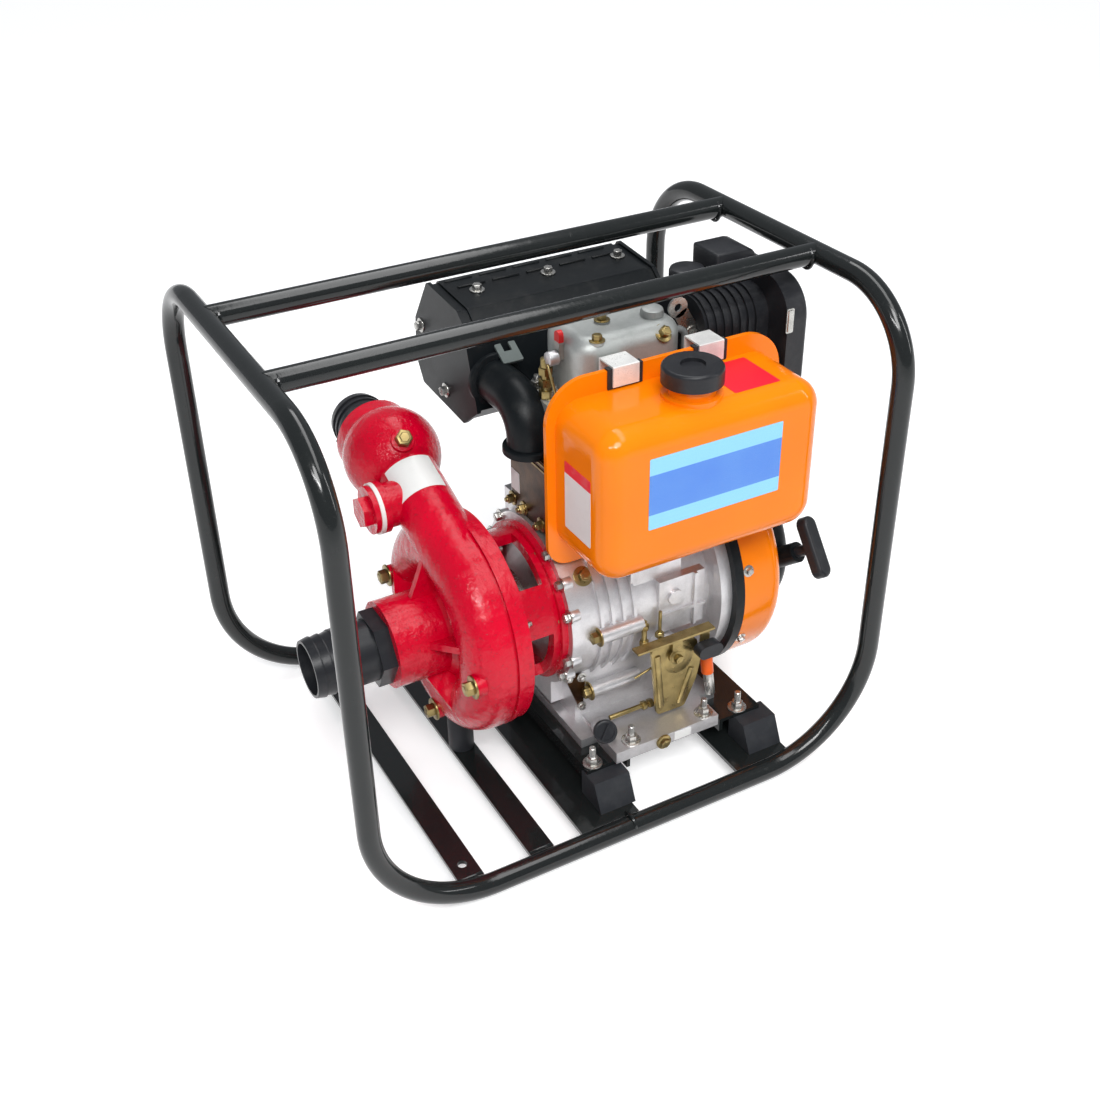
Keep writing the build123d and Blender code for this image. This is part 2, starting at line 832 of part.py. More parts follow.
# Intake duct between the head and the air filter
with BuildPart() as intake_duct:
    with BuildSketch(side_view(cylinder_x[1])):
        with Locations((middle(cylinder_y), (cylinder_top + head_top) / 2)):
            RectangleRounded(duct_width, duct_height, duct_round)
    extrude(amount=filter_x[0] - cylinder_x[1])
finish(intake_duct, "intake_duct")


# Air filter: a ribbed case with an intake box, and a deeper end cover
def filter_case(left, right, grow):
    """Rounded case of the air filter between two places along X."""
    with BuildPart() as case:
        with BuildSketch(side_view(left)):
            with Locations((middle(filter_y), middle(filter_z))):
                RectangleRounded(span(filter_y) + 2 * grow, span(filter_z) + 2 * grow, filter_round + grow)
        extrude(amount=right - left)
    return case.part


with BuildPart() as air_filter:
    add(filter_case(filter_x[0], filter_x[1], 0))
    for number in range(filter_rib_count):
        rib_left = filter_x[0] + filter_rib + number * filter_rib_pitch
        add(filter_case(rib_left, rib_left + filter_rib, filter_rib))
    block(intake_box_x, intake_box_y, intake_box_z)
finish(air_filter, "air_filter")

with BuildPart() as filter_cover:
    with BuildSketch(side_view(filter_x[1])):
        with Locations((middle(filter_cover_y), middle(filter_cover_z))):
            RectangleRounded(span(filter_cover_y), span(filter_cover_z), filter_cover_round)
    extrude(amount=filter_cover_right - filter_x[1])
    fillet(filter_cover.edges().sort_by(Axis.X)[-1], filter_cover_edge)
finish(filter_cover, "filter_cover")

# Fuel tank: a deep front pressing and a shallow back one, with the seam flange and the filler
seam_x = (tank_x[0] - seam_side, tank_x[1] + seam_side)
seam_z = (tank_bottom - seam_over, tank_top + seam_over)
tank_centre = (middle(tank_x), (tank_bottom + tank_top) / 2)
with BuildPart() as fuel_tank:
    with BuildSketch(front_view(seam_y)):
        with Locations(tank_centre):
            RectangleRounded(span(tank_x), tank_height, tank_round)
    extrude(amount=seam_y - tank_front)
    fillet(fuel_tank.faces().sort_by(Axis.Y)[0].edges(), tank_edge)
    with BuildSketch(front_view(tank_back)):
        with Locations(tank_centre):
            RectangleRounded(span(tank_x) - 2 * tank_back_inset, tank_height - 2 * tank_back_inset, tank_round)
    extrude(amount=tank_back - seam_y)
    fillet(fuel_tank.faces().sort_by(Axis.Y)[-1].edges(), tank_back_edge)
    with BuildSketch(front_view(seam_y)) as seam:
        with Locations((middle(seam_x), middle(seam_z))):
            Rectangle(span(seam_x), span(seam_z))
        fillet(seam.vertices().sort_by(Axis.Y)[2:], seam_top_round)
        fillet(seam.vertices().sort_by(Axis.Y)[:2], seam_bottom_round)
    extrude(amount=seam_thickness)
    with BuildSketch(Plane.XY.offset(tank_top - filler_root)):
        with Locations((filler_x, filler_y)):
            Circle(filler_r)
    extrude(amount=filler_root + filler_height)
    with BuildSketch(Plane.XY.offset(tank_top - filler_root)):
        with Locations((filler_x, filler_y)):
            Circle(filler_ring_r)
    extrude(amount=filler_root + filler_ring_height)
finish(fuel_tank, "fuel_tank")

cap_foot = tank_top + filler_height - cap_grip
with BuildPart() as fuel_cap:
    with BuildSketch(Plane.XY.offset(cap_foot)):
        with Locations((filler_x, filler_y)):
            Circle(cap_r)
    extrude(amount=cap_height)
    fillet(fuel_cap.edges().sort_by(Axis.Z)[-1], cap_edge)
    with BuildSketch(Plane.XY.offset(cap_foot)):
        with Locations((filler_x, filler_y)):
            Circle(filler_r + cap_clearance)
    extrude(amount=cap_grip + cap_clearance, mode=Mode.SUBTRACT)
    with BuildSketch(Plane.XY.offset(cap_foot + cap_height)):
        with Locations((filler_x, filler_y)):
            Circle(cap_dish_r)
    extrude(amount=-cap_dish_depth, mode=Mode.SUBTRACT)
finish(fuel_cap, "fuel_cap")

# Straps that stand on the cylinder, pass behind the tank and hook over its seam, on rubber pads
seam_front = seam_y - seam_thickness
pad_front = seam_front - side_gap - hook_pad_thickness
pad_top = seam_z[1] + hook_pad_thickness
hook_low = seam_z[1] - hook_leg + hook_pad_thickness
with BuildPart() as hook_pads:
    for x in hook_x:
        pad = (x - hook_pad_width / 2, x + hook_pad_width / 2)
        block(pad, (pad_front, seam_y), (seam_z[1], pad_top))
        block(pad, (pad_front, seam_front - side_gap), (hook_low, pad_top))
finish(hook_pads, "hook_pads")

hook_front = pad_front - hook_thickness
hook_top = pad_top + hook_thickness
strap_back = tank_back + hook_thickness
with BuildPart() as tank_hooks:
    for x in hook_x:
        strap = (x - hook_width / 2, x + hook_width / 2)
        block(strap, (hook_front, strap_back), (pad_top, hook_top))
        block(strap, (hook_front, pad_front), (hook_low + hook_thickness, hook_top))
        block(strap, (tank_back, strap_back), (hook_foot, hook_top))
    fillet(tank_hooks.edges().filter_by(Axis.X).group_by(Axis.Z)[-1], hook_round)
finish(tank_hooks, "tank_hooks")

# Cowl round the flywheel fan, with the seam plate and the recoil starter
with BuildPart() as cowl_plate:
    rod((fan_flange_right, cowl_left), axis_y, axis_z, cowl_plate_r)
    notch_under_tank()
finish(cowl_plate, "cowl_plate")

with BuildPart() as fan_cowl:
    rod((cowl_left, cowl_right), axis_y, axis_z, cowl_r)
    fillet(fan_cowl.edges().sort_by(Axis.X)[-1], cowl_round)
    notch_under_tank()
finish(fan_cowl, "fan_cowl")

yaw = radians(guide_yaw)
rise = radians(guide_rise)
handle_dir = Vector(sin(yaw) * cos(rise), -cos(yaw) * cos(rise), sin(rise))
handle_line = Plane(origin=guide_tip, x_dir=(cos(yaw), sin(yaw), 0), z_dir=handle_dir)
with BuildPart() as recoil_cover:
    rod((cowl_right, recoil_right), axis_y, axis_z, recoil_r)
    fillet(recoil_cover.edges().sort_by(Axis.X)[-1], recoil_round)
    # Rope guide on the rim, towards the handle
    with BuildSketch(handle_line):
        Circle(guide_r)
    extrude(amount=-guide_length)
finish(recoil_cover, "recoil_cover")

# Starter handle: a T-bar whose stem rests on the rope guide
with BuildPart() as recoil_handle:
    with BuildSketch(handle_line):
        Circle(handle_stem_r)
    extrude(amount=handle_gap)
    with BuildSketch(handle_line.offset(handle_gap)):
        SlotOverall(handle_length, handle_width, rotation=90 - handle_turn)
    extrude(amount=handle_thickness)
    fillet(recoil_handle.faces().sort_by(Axis(guide_tip, handle_dir))[-1].edges(), handle_edge)
finish(recoil_handle, "recoil_handle")

# Speed control: the plate on its post
with BuildPart() as control_plate:
    with BuildSketch(front_view(control_y)) as plate_outline:
        with BuildLine():
            Polyline(*control_corners, close=True)
        make_face()
        fillet(plate_outline.vertices(), control_round)
        with Locations((throttle_x, throttle_z)):
            Circle(pin_r + pin_fit, mode=Mode.SUBTRACT)
    extrude(amount=control_thickness)
finish(control_plate, "control_plate")

# Speed lever: a hub with an arm up to a bar that is bent forwards, and a tab for the knob
lever_back = control_y - control_thickness - side_gap
lever_front = lever_back - throttle_thickness
lever_arm_x = (throttle_x - throttle_arm_width / 2, throttle_x + throttle_arm_width / 2)
with BuildPart() as throttle_lever:
    with BuildSketch(front_view(lever_back)):
        with Locations((throttle_x, throttle_z)):
            Circle(throttle_hub_r)
    extrude(amount=throttle_thickness)
    with BuildSketch(front_view(control_y)):
        with Locations((throttle_x, throttle_z)):
            Circle(pin_r)
    extrude(amount=control_thickness + side_gap)
    block(lever_arm_x, (lever_front, lever_back), (throttle_z, throttle_bar_z[1]))
    block(throttle_bar_x, (lever_back - throttle_bar_depth, lever_back), throttle_bar_z)
    block(throttle_tab_x, (lever_front, lever_back), (throttle_tab_z, throttle_bar_z[1]))
finish(throttle_lever, "throttle_lever")

# Knob of the speed lever: a wing nut
with BuildPart() as throttle_knob:
    with BuildSketch(front_view(lever_front)):
        with Locations((throttle_knob_x, throttle_knob_z)):
            SlotOverall(throttle_knob_length, throttle_knob_width)
    extrude(amount=throttle_knob_height)
finish(throttle_knob, "throttle_knob")

# Decompression lever on the end of the rocker cover
with BuildPart() as decompression_lever:
    lever_face = rocker_x[0] - side_gap
    lever_side = Plane(origin=(lever_face, decomp_y, decomp_z), x_dir=(0, -1, 0), z_dir=(-1, 0, 0))
    with BuildSketch(lever_side):
        with Locations((0, decomp_reach / 2)):
            SlotOverall(decomp_reach + decomp_width, decomp_width, rotation=90)
    extrude(amount=decomp_thickness)
    rod((lever_face, lever_face + decomp_socket), decomp_y, decomp_z, pin_r)
finish(decompression_lever, "decompression_lever")

# Fuel lines
finish(bent_tube(injection_pipe_route, injection_pipe_bends, injection_pipe_r), "injection_pipe")
finish(bent_tube(return_hose_route, return_hose_bends, return_hose_r), "return_hose")
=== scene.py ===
"""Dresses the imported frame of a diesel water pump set: finishes, fasteners and fine pieces."""
import json
from contextlib import contextmanager
from math import cos, pi, radians, sin, sqrt

import bmesh
import bpy
from mathutils import Matrix, Vector


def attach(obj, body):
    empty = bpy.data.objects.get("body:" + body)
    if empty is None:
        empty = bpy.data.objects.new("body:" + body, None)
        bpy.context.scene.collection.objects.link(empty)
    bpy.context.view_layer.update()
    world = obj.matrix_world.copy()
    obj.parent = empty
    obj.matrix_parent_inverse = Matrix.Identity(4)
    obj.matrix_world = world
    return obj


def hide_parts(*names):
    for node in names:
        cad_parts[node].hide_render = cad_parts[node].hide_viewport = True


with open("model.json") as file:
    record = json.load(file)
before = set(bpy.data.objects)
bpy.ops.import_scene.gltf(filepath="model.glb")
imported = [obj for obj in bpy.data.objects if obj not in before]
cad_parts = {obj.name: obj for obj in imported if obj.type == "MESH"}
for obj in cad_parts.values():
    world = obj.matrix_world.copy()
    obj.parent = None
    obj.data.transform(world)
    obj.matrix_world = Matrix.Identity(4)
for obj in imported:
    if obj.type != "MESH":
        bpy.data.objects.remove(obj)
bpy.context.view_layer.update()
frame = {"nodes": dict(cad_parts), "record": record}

bl_info = {
    "name": "Diesel Water Pump",
    "version": (1, 0, 0),
    "blender": (4, 5, 0),
    "location": "View3D > Sidebar > Water Pump",
    "description": "Finishes and fine pieces of a diesel water pump set in its tube frame",
    "category": "Object",
}

MM = 0.001
SHAFT_Y, SHAFT_Z = -28.0, 213.0  # millimetres
UP, EAST, WEST, SOUTH = (0.0, 0.0, 1.0), (1.0, 0.0, 0.0), (-1.0, 0.0, 0.0), (0.0, -1.0, 0.0)
# Turns that stand a plate of the XY plane upright, with its face to the south or the west.
FACE_SOUTH = Matrix(((1, 0, 0), (0, 0, -1), (0, 1, 0))).to_4x4()
FACE_WEST = Matrix(((0, 0, -1), (-1, 0, 0), (0, 1, 0))).to_4x4()
NO_BAND = 9.0  # metres, above every piece: the plate shows no coloured head
LEVER_TIP = 0.5425  # metres above the floor, where the red tip of the lever starts


def colour_prop(label, note, value):
    """A colour that the user can change."""
    return bpy.props.FloatVectorProperty(
        name=label, description=note, default=value, subtype="COLOR", size=3, min=0.0, max=1.0)


def length_prop(label, note, value):
    """A length in metres that the user can change."""
    return bpy.props.FloatProperty(
        name=label, description=note, default=value, unit="LENGTH", subtype="DISTANCE")


class PumpCameraSettings(bpy.types.PropertyGroup):
    """Where the camera stands and how it looks."""
    place: bpy.props.FloatVectorProperty(
        name="Place", description="Where the camera stands", size=3, subtype="TRANSLATION",
        default=(-0.6596, -1.2730, 1.1909))
    aim: bpy.props.FloatVectorProperty(
        name="Aim", description="Point in the middle of the picture", size=3, subtype="TRANSLATION",
        default=(0.02454, 0.0, 0.25229))
    roll: bpy.props.FloatProperty(
        name="Roll", description="Turn of the camera about its line of sight", subtype="ANGLE",
        default=radians(-1.125))
    lens: bpy.props.FloatProperty(
        name="Lens", description="Focal length on a 36 mm sensor", unit="CAMERA", default=45.77)


class PumpColourSettings(bpy.types.PropertyGroup):
    """The paints and bare materials of the set."""
    frame_black: colour_prop("Frame black", "Gloss paint of the tube frame", (0.010, 0.012, 0.012))
    pump_red: colour_prop("Pump red", "Gloss paint of the cast pump", (0.60, 0.0, 0.020))
    tank_orange: colour_prop("Tank orange", "Gloss paint of the tank and the fan cowl", (0.95, 0.215, 0.002))
    cast_aluminium: colour_prop("Cast aluminium", "Bare castings of the engine", (0.70, 0.69, 0.70))
    rocker_grey: colour_prop("Rocker grey", "Bead-blasted rocker cover", (0.46, 0.48, 0.465))
    bracket_grey: colour_prop("Bracket grey", "Heat paint of the exhaust bracket", (0.11, 0.13, 0.125))
    heat_black: colour_prop("Heat black", "Satin heat paint of the muffler", (0.006, 0.0078, 0.0092))
    shroud_brown: colour_prop("Shroud brown", "Bronze coat of the cylinder", (0.085, 0.040, 0.016))
    black_plastic: colour_prop("Black plastic", "Moulded barbs, filter and cap", (0.016, 0.017, 0.020))
    rubber: colour_prop("Rubber", "Mounts and pads", (0.020, 0.022, 0.026))
    zinc_yellow: colour_prop("Yellow zinc", "Plated plate, lever and pump bolts", (0.36, 0.275, 0.115))
    zinc_bright: colour_prop("Bright zinc", "Plated nuts and washers", (0.58, 0.57, 0.54))
    lever_red: colour_prop("Lever red", "Tip of the decompression lever", (0.72, 0.010, 0.012))
    hose_grey: colour_prop("Hose grey", "Fuel return hose", (0.20, 0.21, 0.21))
    plate_white: colour_prop("Plate white", "Bare tags and plates", (0.78, 0.78, 0.76))
    plate_blue: colour_prop("Plate blue", "Middle band of the tank plate", (0.045, 0.19, 0.70))
    plate_sky: colour_prop("Plate sky blue", "Edge bands of the tank plate", (0.26, 0.64, 0.95))
    plate_crimson: colour_prop("Plate crimson", "Head of the side plate, and the filler patch",
                               (0.80, 0.008, 0.030))
    floor: colour_prop("Floor", "The pale floor and backdrop", (0.80, 0.80, 0.80))


class PumpSizeSettings(bpy.types.PropertyGroup):
    """Sizes of the fasteners and plates."""
    small_bolt: length_prop("Small bolt", "Width across flats of the smallest heads", 0.010)
    middle_bolt: length_prop("Middle bolt", "Width across flats of the common heads", 0.013)
    large_bolt: length_prop("Large bolt", "Width across flats of the largest heads", 0.017)
    plate_thickness: length_prop("Plate thickness", "Thickness of the bare plates and tags", 0.0004)
    weld_height: length_prop("Weld height", "How far a weld bead stands off its tube", 0.0022)


class Wire:
    """A shader socket that takes part in Python expressions."""

    def __init__(self, graph, socket):
        self.graph = graph
        self.socket = socket

    def math(self, operation, *inputs):
        """The output of a maths node."""
        return self.graph.node("ShaderNodeMath", {"operation": operation}, inputs)

    def __add__(self, other):
        return self.math("ADD", self, other)

    def __rsub__(self, other):
        return self.math("SUBTRACT", other, self)

    def __mul__(self, other):
        return self.math("MULTIPLY", self, other)

    def __gt__(self, other):
        return self.math("GREATER_THAN", self, other)

    def __lt__(self, other):
        return self.math("LESS_THAN", self, other)


class Graph:
    """The node tree of one material, with its surface shader."""

    def __init__(self, name):
        self.material = bpy.data.materials.new(name)
        self.material.use_nodes = True
        self.tree = self.material.node_tree
        self.shader = self.tree.nodes["Principled BSDF"]

    def node(self, kind, settings=None, inputs=(), output=0):
        """Add a node; settings are set first, then inputs by position or by name. Returns one output."""
        made = self.tree.nodes.new(kind)
        for key, value in (settings or {}).items():
            if key == "stops":
                self.set_stops(made.color_ramp, value)
            else:
                setattr(made, key, value)
        pairs = inputs.items() if isinstance(inputs, dict) else enumerate(inputs)
        for key, value in pairs:
            self.feed(made.inputs[key], value)
        return Wire(self, made.outputs[output])

    @staticmethod
    def set_stops(ramp, stops):
        """Give a ramp its grey stops."""
        while len(ramp.elements) < len(stops):
            ramp.elements.new(0.5)
        for element, (position, level) in zip(ramp.elements, stops):
            element.position = position
            element.color = (level, level, level, 1.0)

    def feed(self, socket, value):
        """Link a wire to a socket, or set its value."""
        if isinstance(value, Wire):
            self.tree.links.new(value.socket, socket)
        elif socket.type == "RGBA":
            socket.default_value = (*value, 1.0)
        else:
            socket.default_value = value

    def set(self, **values):
        """Set inputs of the surface shader; underscores stand for spaces."""
        for key, value in values.items():
            self.feed(self.shader.inputs[key.replace("_", " ")], value)

    def place(self):
        """Object coordinates, in metres."""
        return self.node("ShaderNodeTexCoord", output="Object")

    def stretched(self, x, y, z):
        """Object coordinates, each axis by its own factor."""
        return self.node("ShaderNodeVectorMath", {"operation": "MULTIPLY"}, (self.place(), (x, y, z)))

    def axis(self, letter):
        """One of the object coordinates."""
        return self.node("ShaderNodeSeparateXYZ", None, (self.place(),), letter)

    def noise(self, scale, detail=4.0, roughness=0.5, where=None):
        """Fractal noise; scale is in waves per metre."""
        return self.node("ShaderNodeTexNoise", None,
                         {"Vector": where or self.place(), "Scale": scale, "Detail": detail,
                          "Roughness": roughness}, "Fac")

    def ramp(self, value, *stops):
        """Map a value through grey stops."""
        return self.node("ShaderNodeValToRGB", {"stops": stops}, (value,))

    def mix(self, share, low, high):
        """Mix two colours by a share."""
        node = self.tree.nodes.new("ShaderNodeMix")
        node.data_type = "RGBA"
        colours = [s for s in node.inputs if s.type == "RGBA"]
        self.feed(node.inputs["Factor"], share)
        self.feed(colours[0], low)
        self.feed(colours[1], high)
        return Wire(self, [s for s in node.outputs if s.type == "RGBA"][0])

    def bump(self, height, distance, under=None):
        """Turn a height from 0 to 1 into a normal; distance is the real height in metres."""
        inputs = {"Height": height, "Strength": 1.0, "Distance": distance}
        if under:
            inputs["Normal"] = under
        return self.node("ShaderNodeBump", None, inputs, "Normal")


def shade(colour, factor):
    """A colour made lighter or darker."""
    return tuple(min(1.0, channel * factor) for channel in colour)


def gloss_paint(name, colour, roughness, peel, peel_height, coat, specular):
    """Brushed or sprayed gloss paint: orange peel, slow drift of tone, and a little dust."""
    g = Graph(name)
    drift = g.noise(9.0, 2.0)
    dust = g.ramp(g.noise(140.0, 8.0, 0.7), (0.56, 0.0), (0.74, 1.0))
    base = g.mix(drift, shade(colour, 0.88), shade(colour, 1.12))
    g.set(Base_Color=g.mix(dust * 0.012, base, (0.45, 0.44, 0.42)),
          Roughness=g.noise(30.0) * 0.08 + dust * 0.15 + (roughness - 0.04),
          Coat_Weight=coat, Coat_Roughness=0.06, Specular_IOR_Level=specular,
          Normal=g.bump(g.noise(peel, 3.0), peel_height))
    return g.material


def cast_paint(name, colour):
    """Thick gloss paint over rough cast iron: lumps of the sand show through, and pits show as duller spots
    darkened with painted shade.
    """
    g = Graph(name)
    sand = g.noise(420.0, 5.0, 0.6)
    lumps = g.noise(70.0, 3.0)
    pits_and_pit_shade = g.ramp(g.noise(230.0, 2.0), (0.60, 0.0), (0.70, 1.0))
    tone = g.mix(g.noise(14.0, 3.0), shade(colour, 0.80), shade(colour, 1.15))
    # The pit mask darkens the base colour, which is painted shade of the pits. It also makes the paint
    # duller.
    g.set(Base_Color=g.mix(pits_and_pit_shade * 0.5, tone, shade(colour, 0.45)),
          Roughness=sand * 0.14 + pits_and_pit_shade * 0.2 + 0.08,
          Coat_Weight=0.12, Coat_Roughness=0.06, Specular_IOR_Level=0.26,
          Normal=g.bump(sand, 0.00045, g.bump(lumps, 0.0024)))
    return g.material


def cast_metal(name, colour, metallic, roughness):
    """Sand-cast metal: grain, grey staining and slight burnish."""
    g = Graph(name)
    grain = g.noise(650.0, 5.0, 0.65)
    stain = g.ramp(g.noise(24.0, 6.0, 0.6), (0.46, 0.0), (0.72, 1.0))
    tone = g.mix(grain, shade(colour, 0.82), shade(colour, 1.15))
    g.set(Base_Color=g.mix(stain * 0.45, tone, shade(colour, 0.45)), Metallic=metallic,
          Roughness=grain * 0.18 + stain * 0.12 + (roughness - 0.10),
          Normal=g.bump(grain, 0.00030, g.bump(g.noise(60.0, 2.0), 0.0006)))
    return g.material


def satin_paint(name, colour, roughness):
    """Satin heat paint with fine grain and rubbed, paler patches."""
    g = Graph(name)
    grain = g.noise(500.0, 4.0)
    rubbed = g.ramp(g.noise(35.0, 6.0, 0.65), (0.52, 0.0), (0.76, 1.0))
    g.set(Base_Color=g.mix(rubbed * 0.14, colour, (0.10, 0.095, 0.085)),
          Roughness=grain * 0.12 + rubbed * 0.12 + (roughness - 0.06), Specular_IOR_Level=0.17,
          Normal=g.bump(grain, 0.00012))
    return g.material


def plated(name, colour, second, roughness):
    """Zinc plate: the passivate drifts between two tints, with drawn scratches."""
    g = Graph(name)
    cloud = g.ramp(g.noise(55.0, 3.0), (0.35, 0.0), (0.66, 1.0))
    scratch = g.noise(90.0, 3.0, where=g.stretched(1.0, 9.0, 1.6))
    g.set(Base_Color=g.mix(cloud, colour, second), Metallic=0.95,
          Roughness=scratch * 0.16 + (roughness - 0.08),
          Normal=g.bump(scratch, 0.00008))
    return g.material


def moulded(name, colour, roughness, grain_height):
    """Moulded plastic or rubber: leather grain, handling marks and dust."""
    g = Graph(name)
    grain = g.noise(900.0, 3.0, 0.55)
    marks = g.ramp(g.noise(45.0, 7.0, 0.7), (0.50, 0.0), (0.78, 1.0))
    g.set(Base_Color=g.mix(marks * 0.10, colour, (0.16, 0.16, 0.16)),
          Roughness=grain * 0.14 + marks * 0.14 + (roughness - 0.08), Specular_IOR_Level=0.30,
          Normal=g.bump(grain, grain_height))
    return g.material


def tipped_lever(name, tip, stem, tip_start):
    """A plated lever with a dipped plastic tip."""
    g = Graph(name)
    dipped = g.axis("Z") > tip_start
    grain = g.noise(300.0, 3.0)
    g.set(Base_Color=g.mix(dipped, stem, tip), Metallic=(1.0 - dipped) * 0.9,
          Roughness=grain * 0.15 + 0.25, Normal=g.bump(grain, 0.00008))
    return g.material


def banded_plate(name, band, edges, low, high):
    """A printed plate with a plain middle band between two paler ones, and fine print screen."""
    g = Graph(name)
    height = g.axis("Z")
    middle = (height > low) * (height < high)
    screen = g.noise(1400.0, 2.0)
    fade = g.noise(18.0, 3.0) * 0.25
    g.set(Base_Color=g.mix(fade, g.mix(middle, edges, band), shade(edges, 0.9)),
          Roughness=screen * 0.10 + 0.22, Coat_Weight=0.3, Normal=g.bump(screen, 0.00002))
    return g.material


def headed_plate(name, face, head, head_start):
    """A bare plate with one plain coloured head band."""
    g = Graph(name)
    screen = g.noise(1200.0, 2.0)
    head_mask = g.axis("Z") > head_start
    soiled = g.ramp(g.noise(60.0, 6.0, 0.7), (0.5, 0.0), (0.8, 1.0)) * 0.25
    g.set(Base_Color=g.mix(soiled, g.mix(head_mask, face, head), shade(face, 0.7)),
          Roughness=screen * 0.15 + 0.30, Normal=g.bump(screen, 0.00003))
    return g.material


FINISHES = {}


def shop_finish(key):
    """The material of a finish, made once and shared."""
    if key not in FINISHES:
        FINISHES[key] = make_finish(key, bpy.context.scene.pump_colours)
    return FINISHES[key]


def make_finish(key, colours):
    """Build the material of one finish from the colours that the user can change."""
    paint = {name: tuple(getattr(colours, name)) for name in PumpColourSettings.__annotations__}
    # A finish with no colour of its own starts from bright zinc.
    own = paint.get(key, paint["zinc_bright"])
    maker, *values = {
        "frame_black": (gloss_paint, own, 0.15, 120.0, 0.00012, 0.15, 0.38),
        "pump_red": (cast_paint, own),
        "tank_orange": (gloss_paint, own, 0.14, 60.0, 0.00018, 0.10, 0.22),
        "cast_aluminium": (cast_metal, own, 0.85, 0.36),
        "rocker_grey": (cast_metal, own, 0.55, 0.46),
        "bracket_grey": (satin_paint, own, 0.40),
        "heat_black": (satin_paint, own, 0.36),
        "shroud_brown": (plated, own, shade(own, 0.45), 0.34),
        "black_plastic": (moulded, own, 0.34, 0.00010),
        "rubber": (moulded, own, 0.52, 0.00022),
        "zinc_yellow": (plated, own, shade(own, 0.62), 0.30),
        "hook_silver": (cast_metal, (0.86, 0.86, 0.84), 0.25, 0.30),
        "zinc_bright": (plated, own, shade(own, 0.72), 0.28),
        "steel": (plated, own, shade(own, 0.80), 0.26),
        "red_plastic": (tipped_lever, paint["lever_red"], shade(own, 0.8), LEVER_TIP),
        "hose_grey": (moulded, own, 0.45, 0.00012),
        "seal_white": (moulded, (0.80, 0.79, 0.76), 0.45, 0.00010),
        "plate_white": (headed_plate, own, own, NO_BAND),
        "plate_crimson": (headed_plate, own, own, NO_BAND),
        "cap_orange": (moulded, (0.90, 0.13, 0.012), 0.40, 0.00008),
    }[key]
    return maker(key, *values)


def mm(x, y, z):
    """A point from millimetres."""
    return Vector((x, y, z)) * MM


def round_shaft(x, radius, degrees):
    """A point at a radius and angle about the pump's shaft, from millimetres."""
    return mm(x, SHAFT_Y + radius * cos(radians(degrees)), SHAFT_Z + radius * sin(radians(degrees)))


def facing(place, axis, turn=0.0):
    """The matrix that stands a piece at a place with its Z along an axis."""
    stand = Vector(axis).to_track_quat("Z", "Y").to_matrix().to_4x4()
    return Matrix.Translation(place) @ stand @ Matrix.Rotation(radians(turn), 4, "Z")


def at(x, y, z, axis, turn=0.0):
    """The same matrix, for a place in millimetres."""
    return facing(mm(x, y, z), axis, turn)


def around(x, radius, axis, angles):
    """Such matrices on a circle about the shaft, each turned by its own angle."""
    return [facing(round_shaft(x, radius, angle), axis, angle) for angle in angles]


def shift(x, y, z):
    """The matrix of a move in millimetres."""
    return Matrix.Translation(mm(x, y, z))


def select_only(*pieces):
    """Select these pieces and make the first one active."""
    bpy.ops.object.select_all(action="DESELECT")
    for piece in pieces:
        piece.select_set(True)
    bpy.context.view_layer.objects.active = pieces[0]


def start(add, name, **settings):
    """Add a primitive with nothing else selected."""
    bpy.ops.object.select_all(action="DESELECT")
    add(**settings)
    piece = bpy.context.object
    piece.name = name
    return piece


@contextmanager
def edit_mode(piece):
    """Work on one piece in edit mode."""
    select_only(piece)
    bpy.ops.object.mode_set(mode="EDIT")
    yield
    bpy.ops.object.mode_set(mode="OBJECT")


def pick(kind, test):
    """Select the faces, edges or vertices of the edited piece that pass a test."""
    bpy.ops.mesh.select_mode(type=kind)
    bpy.ops.mesh.select_all(action="DESELECT")
    mesh = bmesh.from_edit_mesh(bpy.context.object.data)
    mesh.normal_update()
    for part in {"FACE": mesh.faces, "EDGE": mesh.edges, "VERT": mesh.verts}[kind]:
        if test(part):
            part.select_set(True)
    mesh.select_flush_mode()
    bmesh.update_edit_mesh(bpy.context.object.data)


def pick_all():
    """Select all of the edited piece."""
    bpy.ops.mesh.select_all(action="SELECT")


def edge_level(height):
    """A test for the edges that lie at one height."""
    return lambda edge: all(abs(v.co.z - height) < 1e-5 for v in edge.verts)


def top_face(height):
    """A test for the faces that look up at one height."""
    return lambda face: face.normal.z > 0.9 and abs(face.calc_center_median().z - height) < 1e-5


def grow(height, y=0.0):
    """Pull the selection out, up by a height or along Y."""
    bpy.ops.mesh.extrude_region_move(TRANSFORM_OT_translate={"value": (0.0, y, height)})


def bevel(offset, segments=2, **more):
    """Round the selection off."""
    bpy.ops.mesh.bevel(offset=offset, segments=segments, **more)


def scale_ring(factor):
    """Scale the selection about the Z axis."""
    bpy.ops.transform.resize(value=(factor, factor, 1.0), center_override=(0.0, 0.0, 0.0))


def join(name, parts):
    """Join parts to one piece."""
    select_only(*parts)
    bpy.ops.object.join()
    parts[0].name = name
    return parts[0]


def smooth(piece):
    """Smooth the shading, but keep the edges that bend by more than 35 degrees."""
    select_only(piece)
    bpy.ops.object.shade_smooth_by_angle(angle=radians(35.0))


def settle(piece, stand=Matrix()):
    """Put a piece's place into its mesh."""
    piece.data.transform(stand @ piece.matrix_basis)
    piece.matrix_basis = Matrix()
    piece.data.update()


# The record's slot of a finish that has no slot of the same name.
SLOT_OF = {"zinc_bright": "steel", "cap_orange": "red_plastic", "bracket_grey": "heat_black",
           "rocker_grey": "cast_aluminium"}


def finish_piece(piece, finish, slot=None, body="frame"):
    """Give a piece its material and the body that carries it."""
    material = finish if isinstance(finish, bpy.types.Material) else shop_finish(finish)
    piece.data.materials.clear()
    piece.data.materials.append(material)
    slot = slot or SLOT_OF.get(finish, finish)
    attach(piece, body)


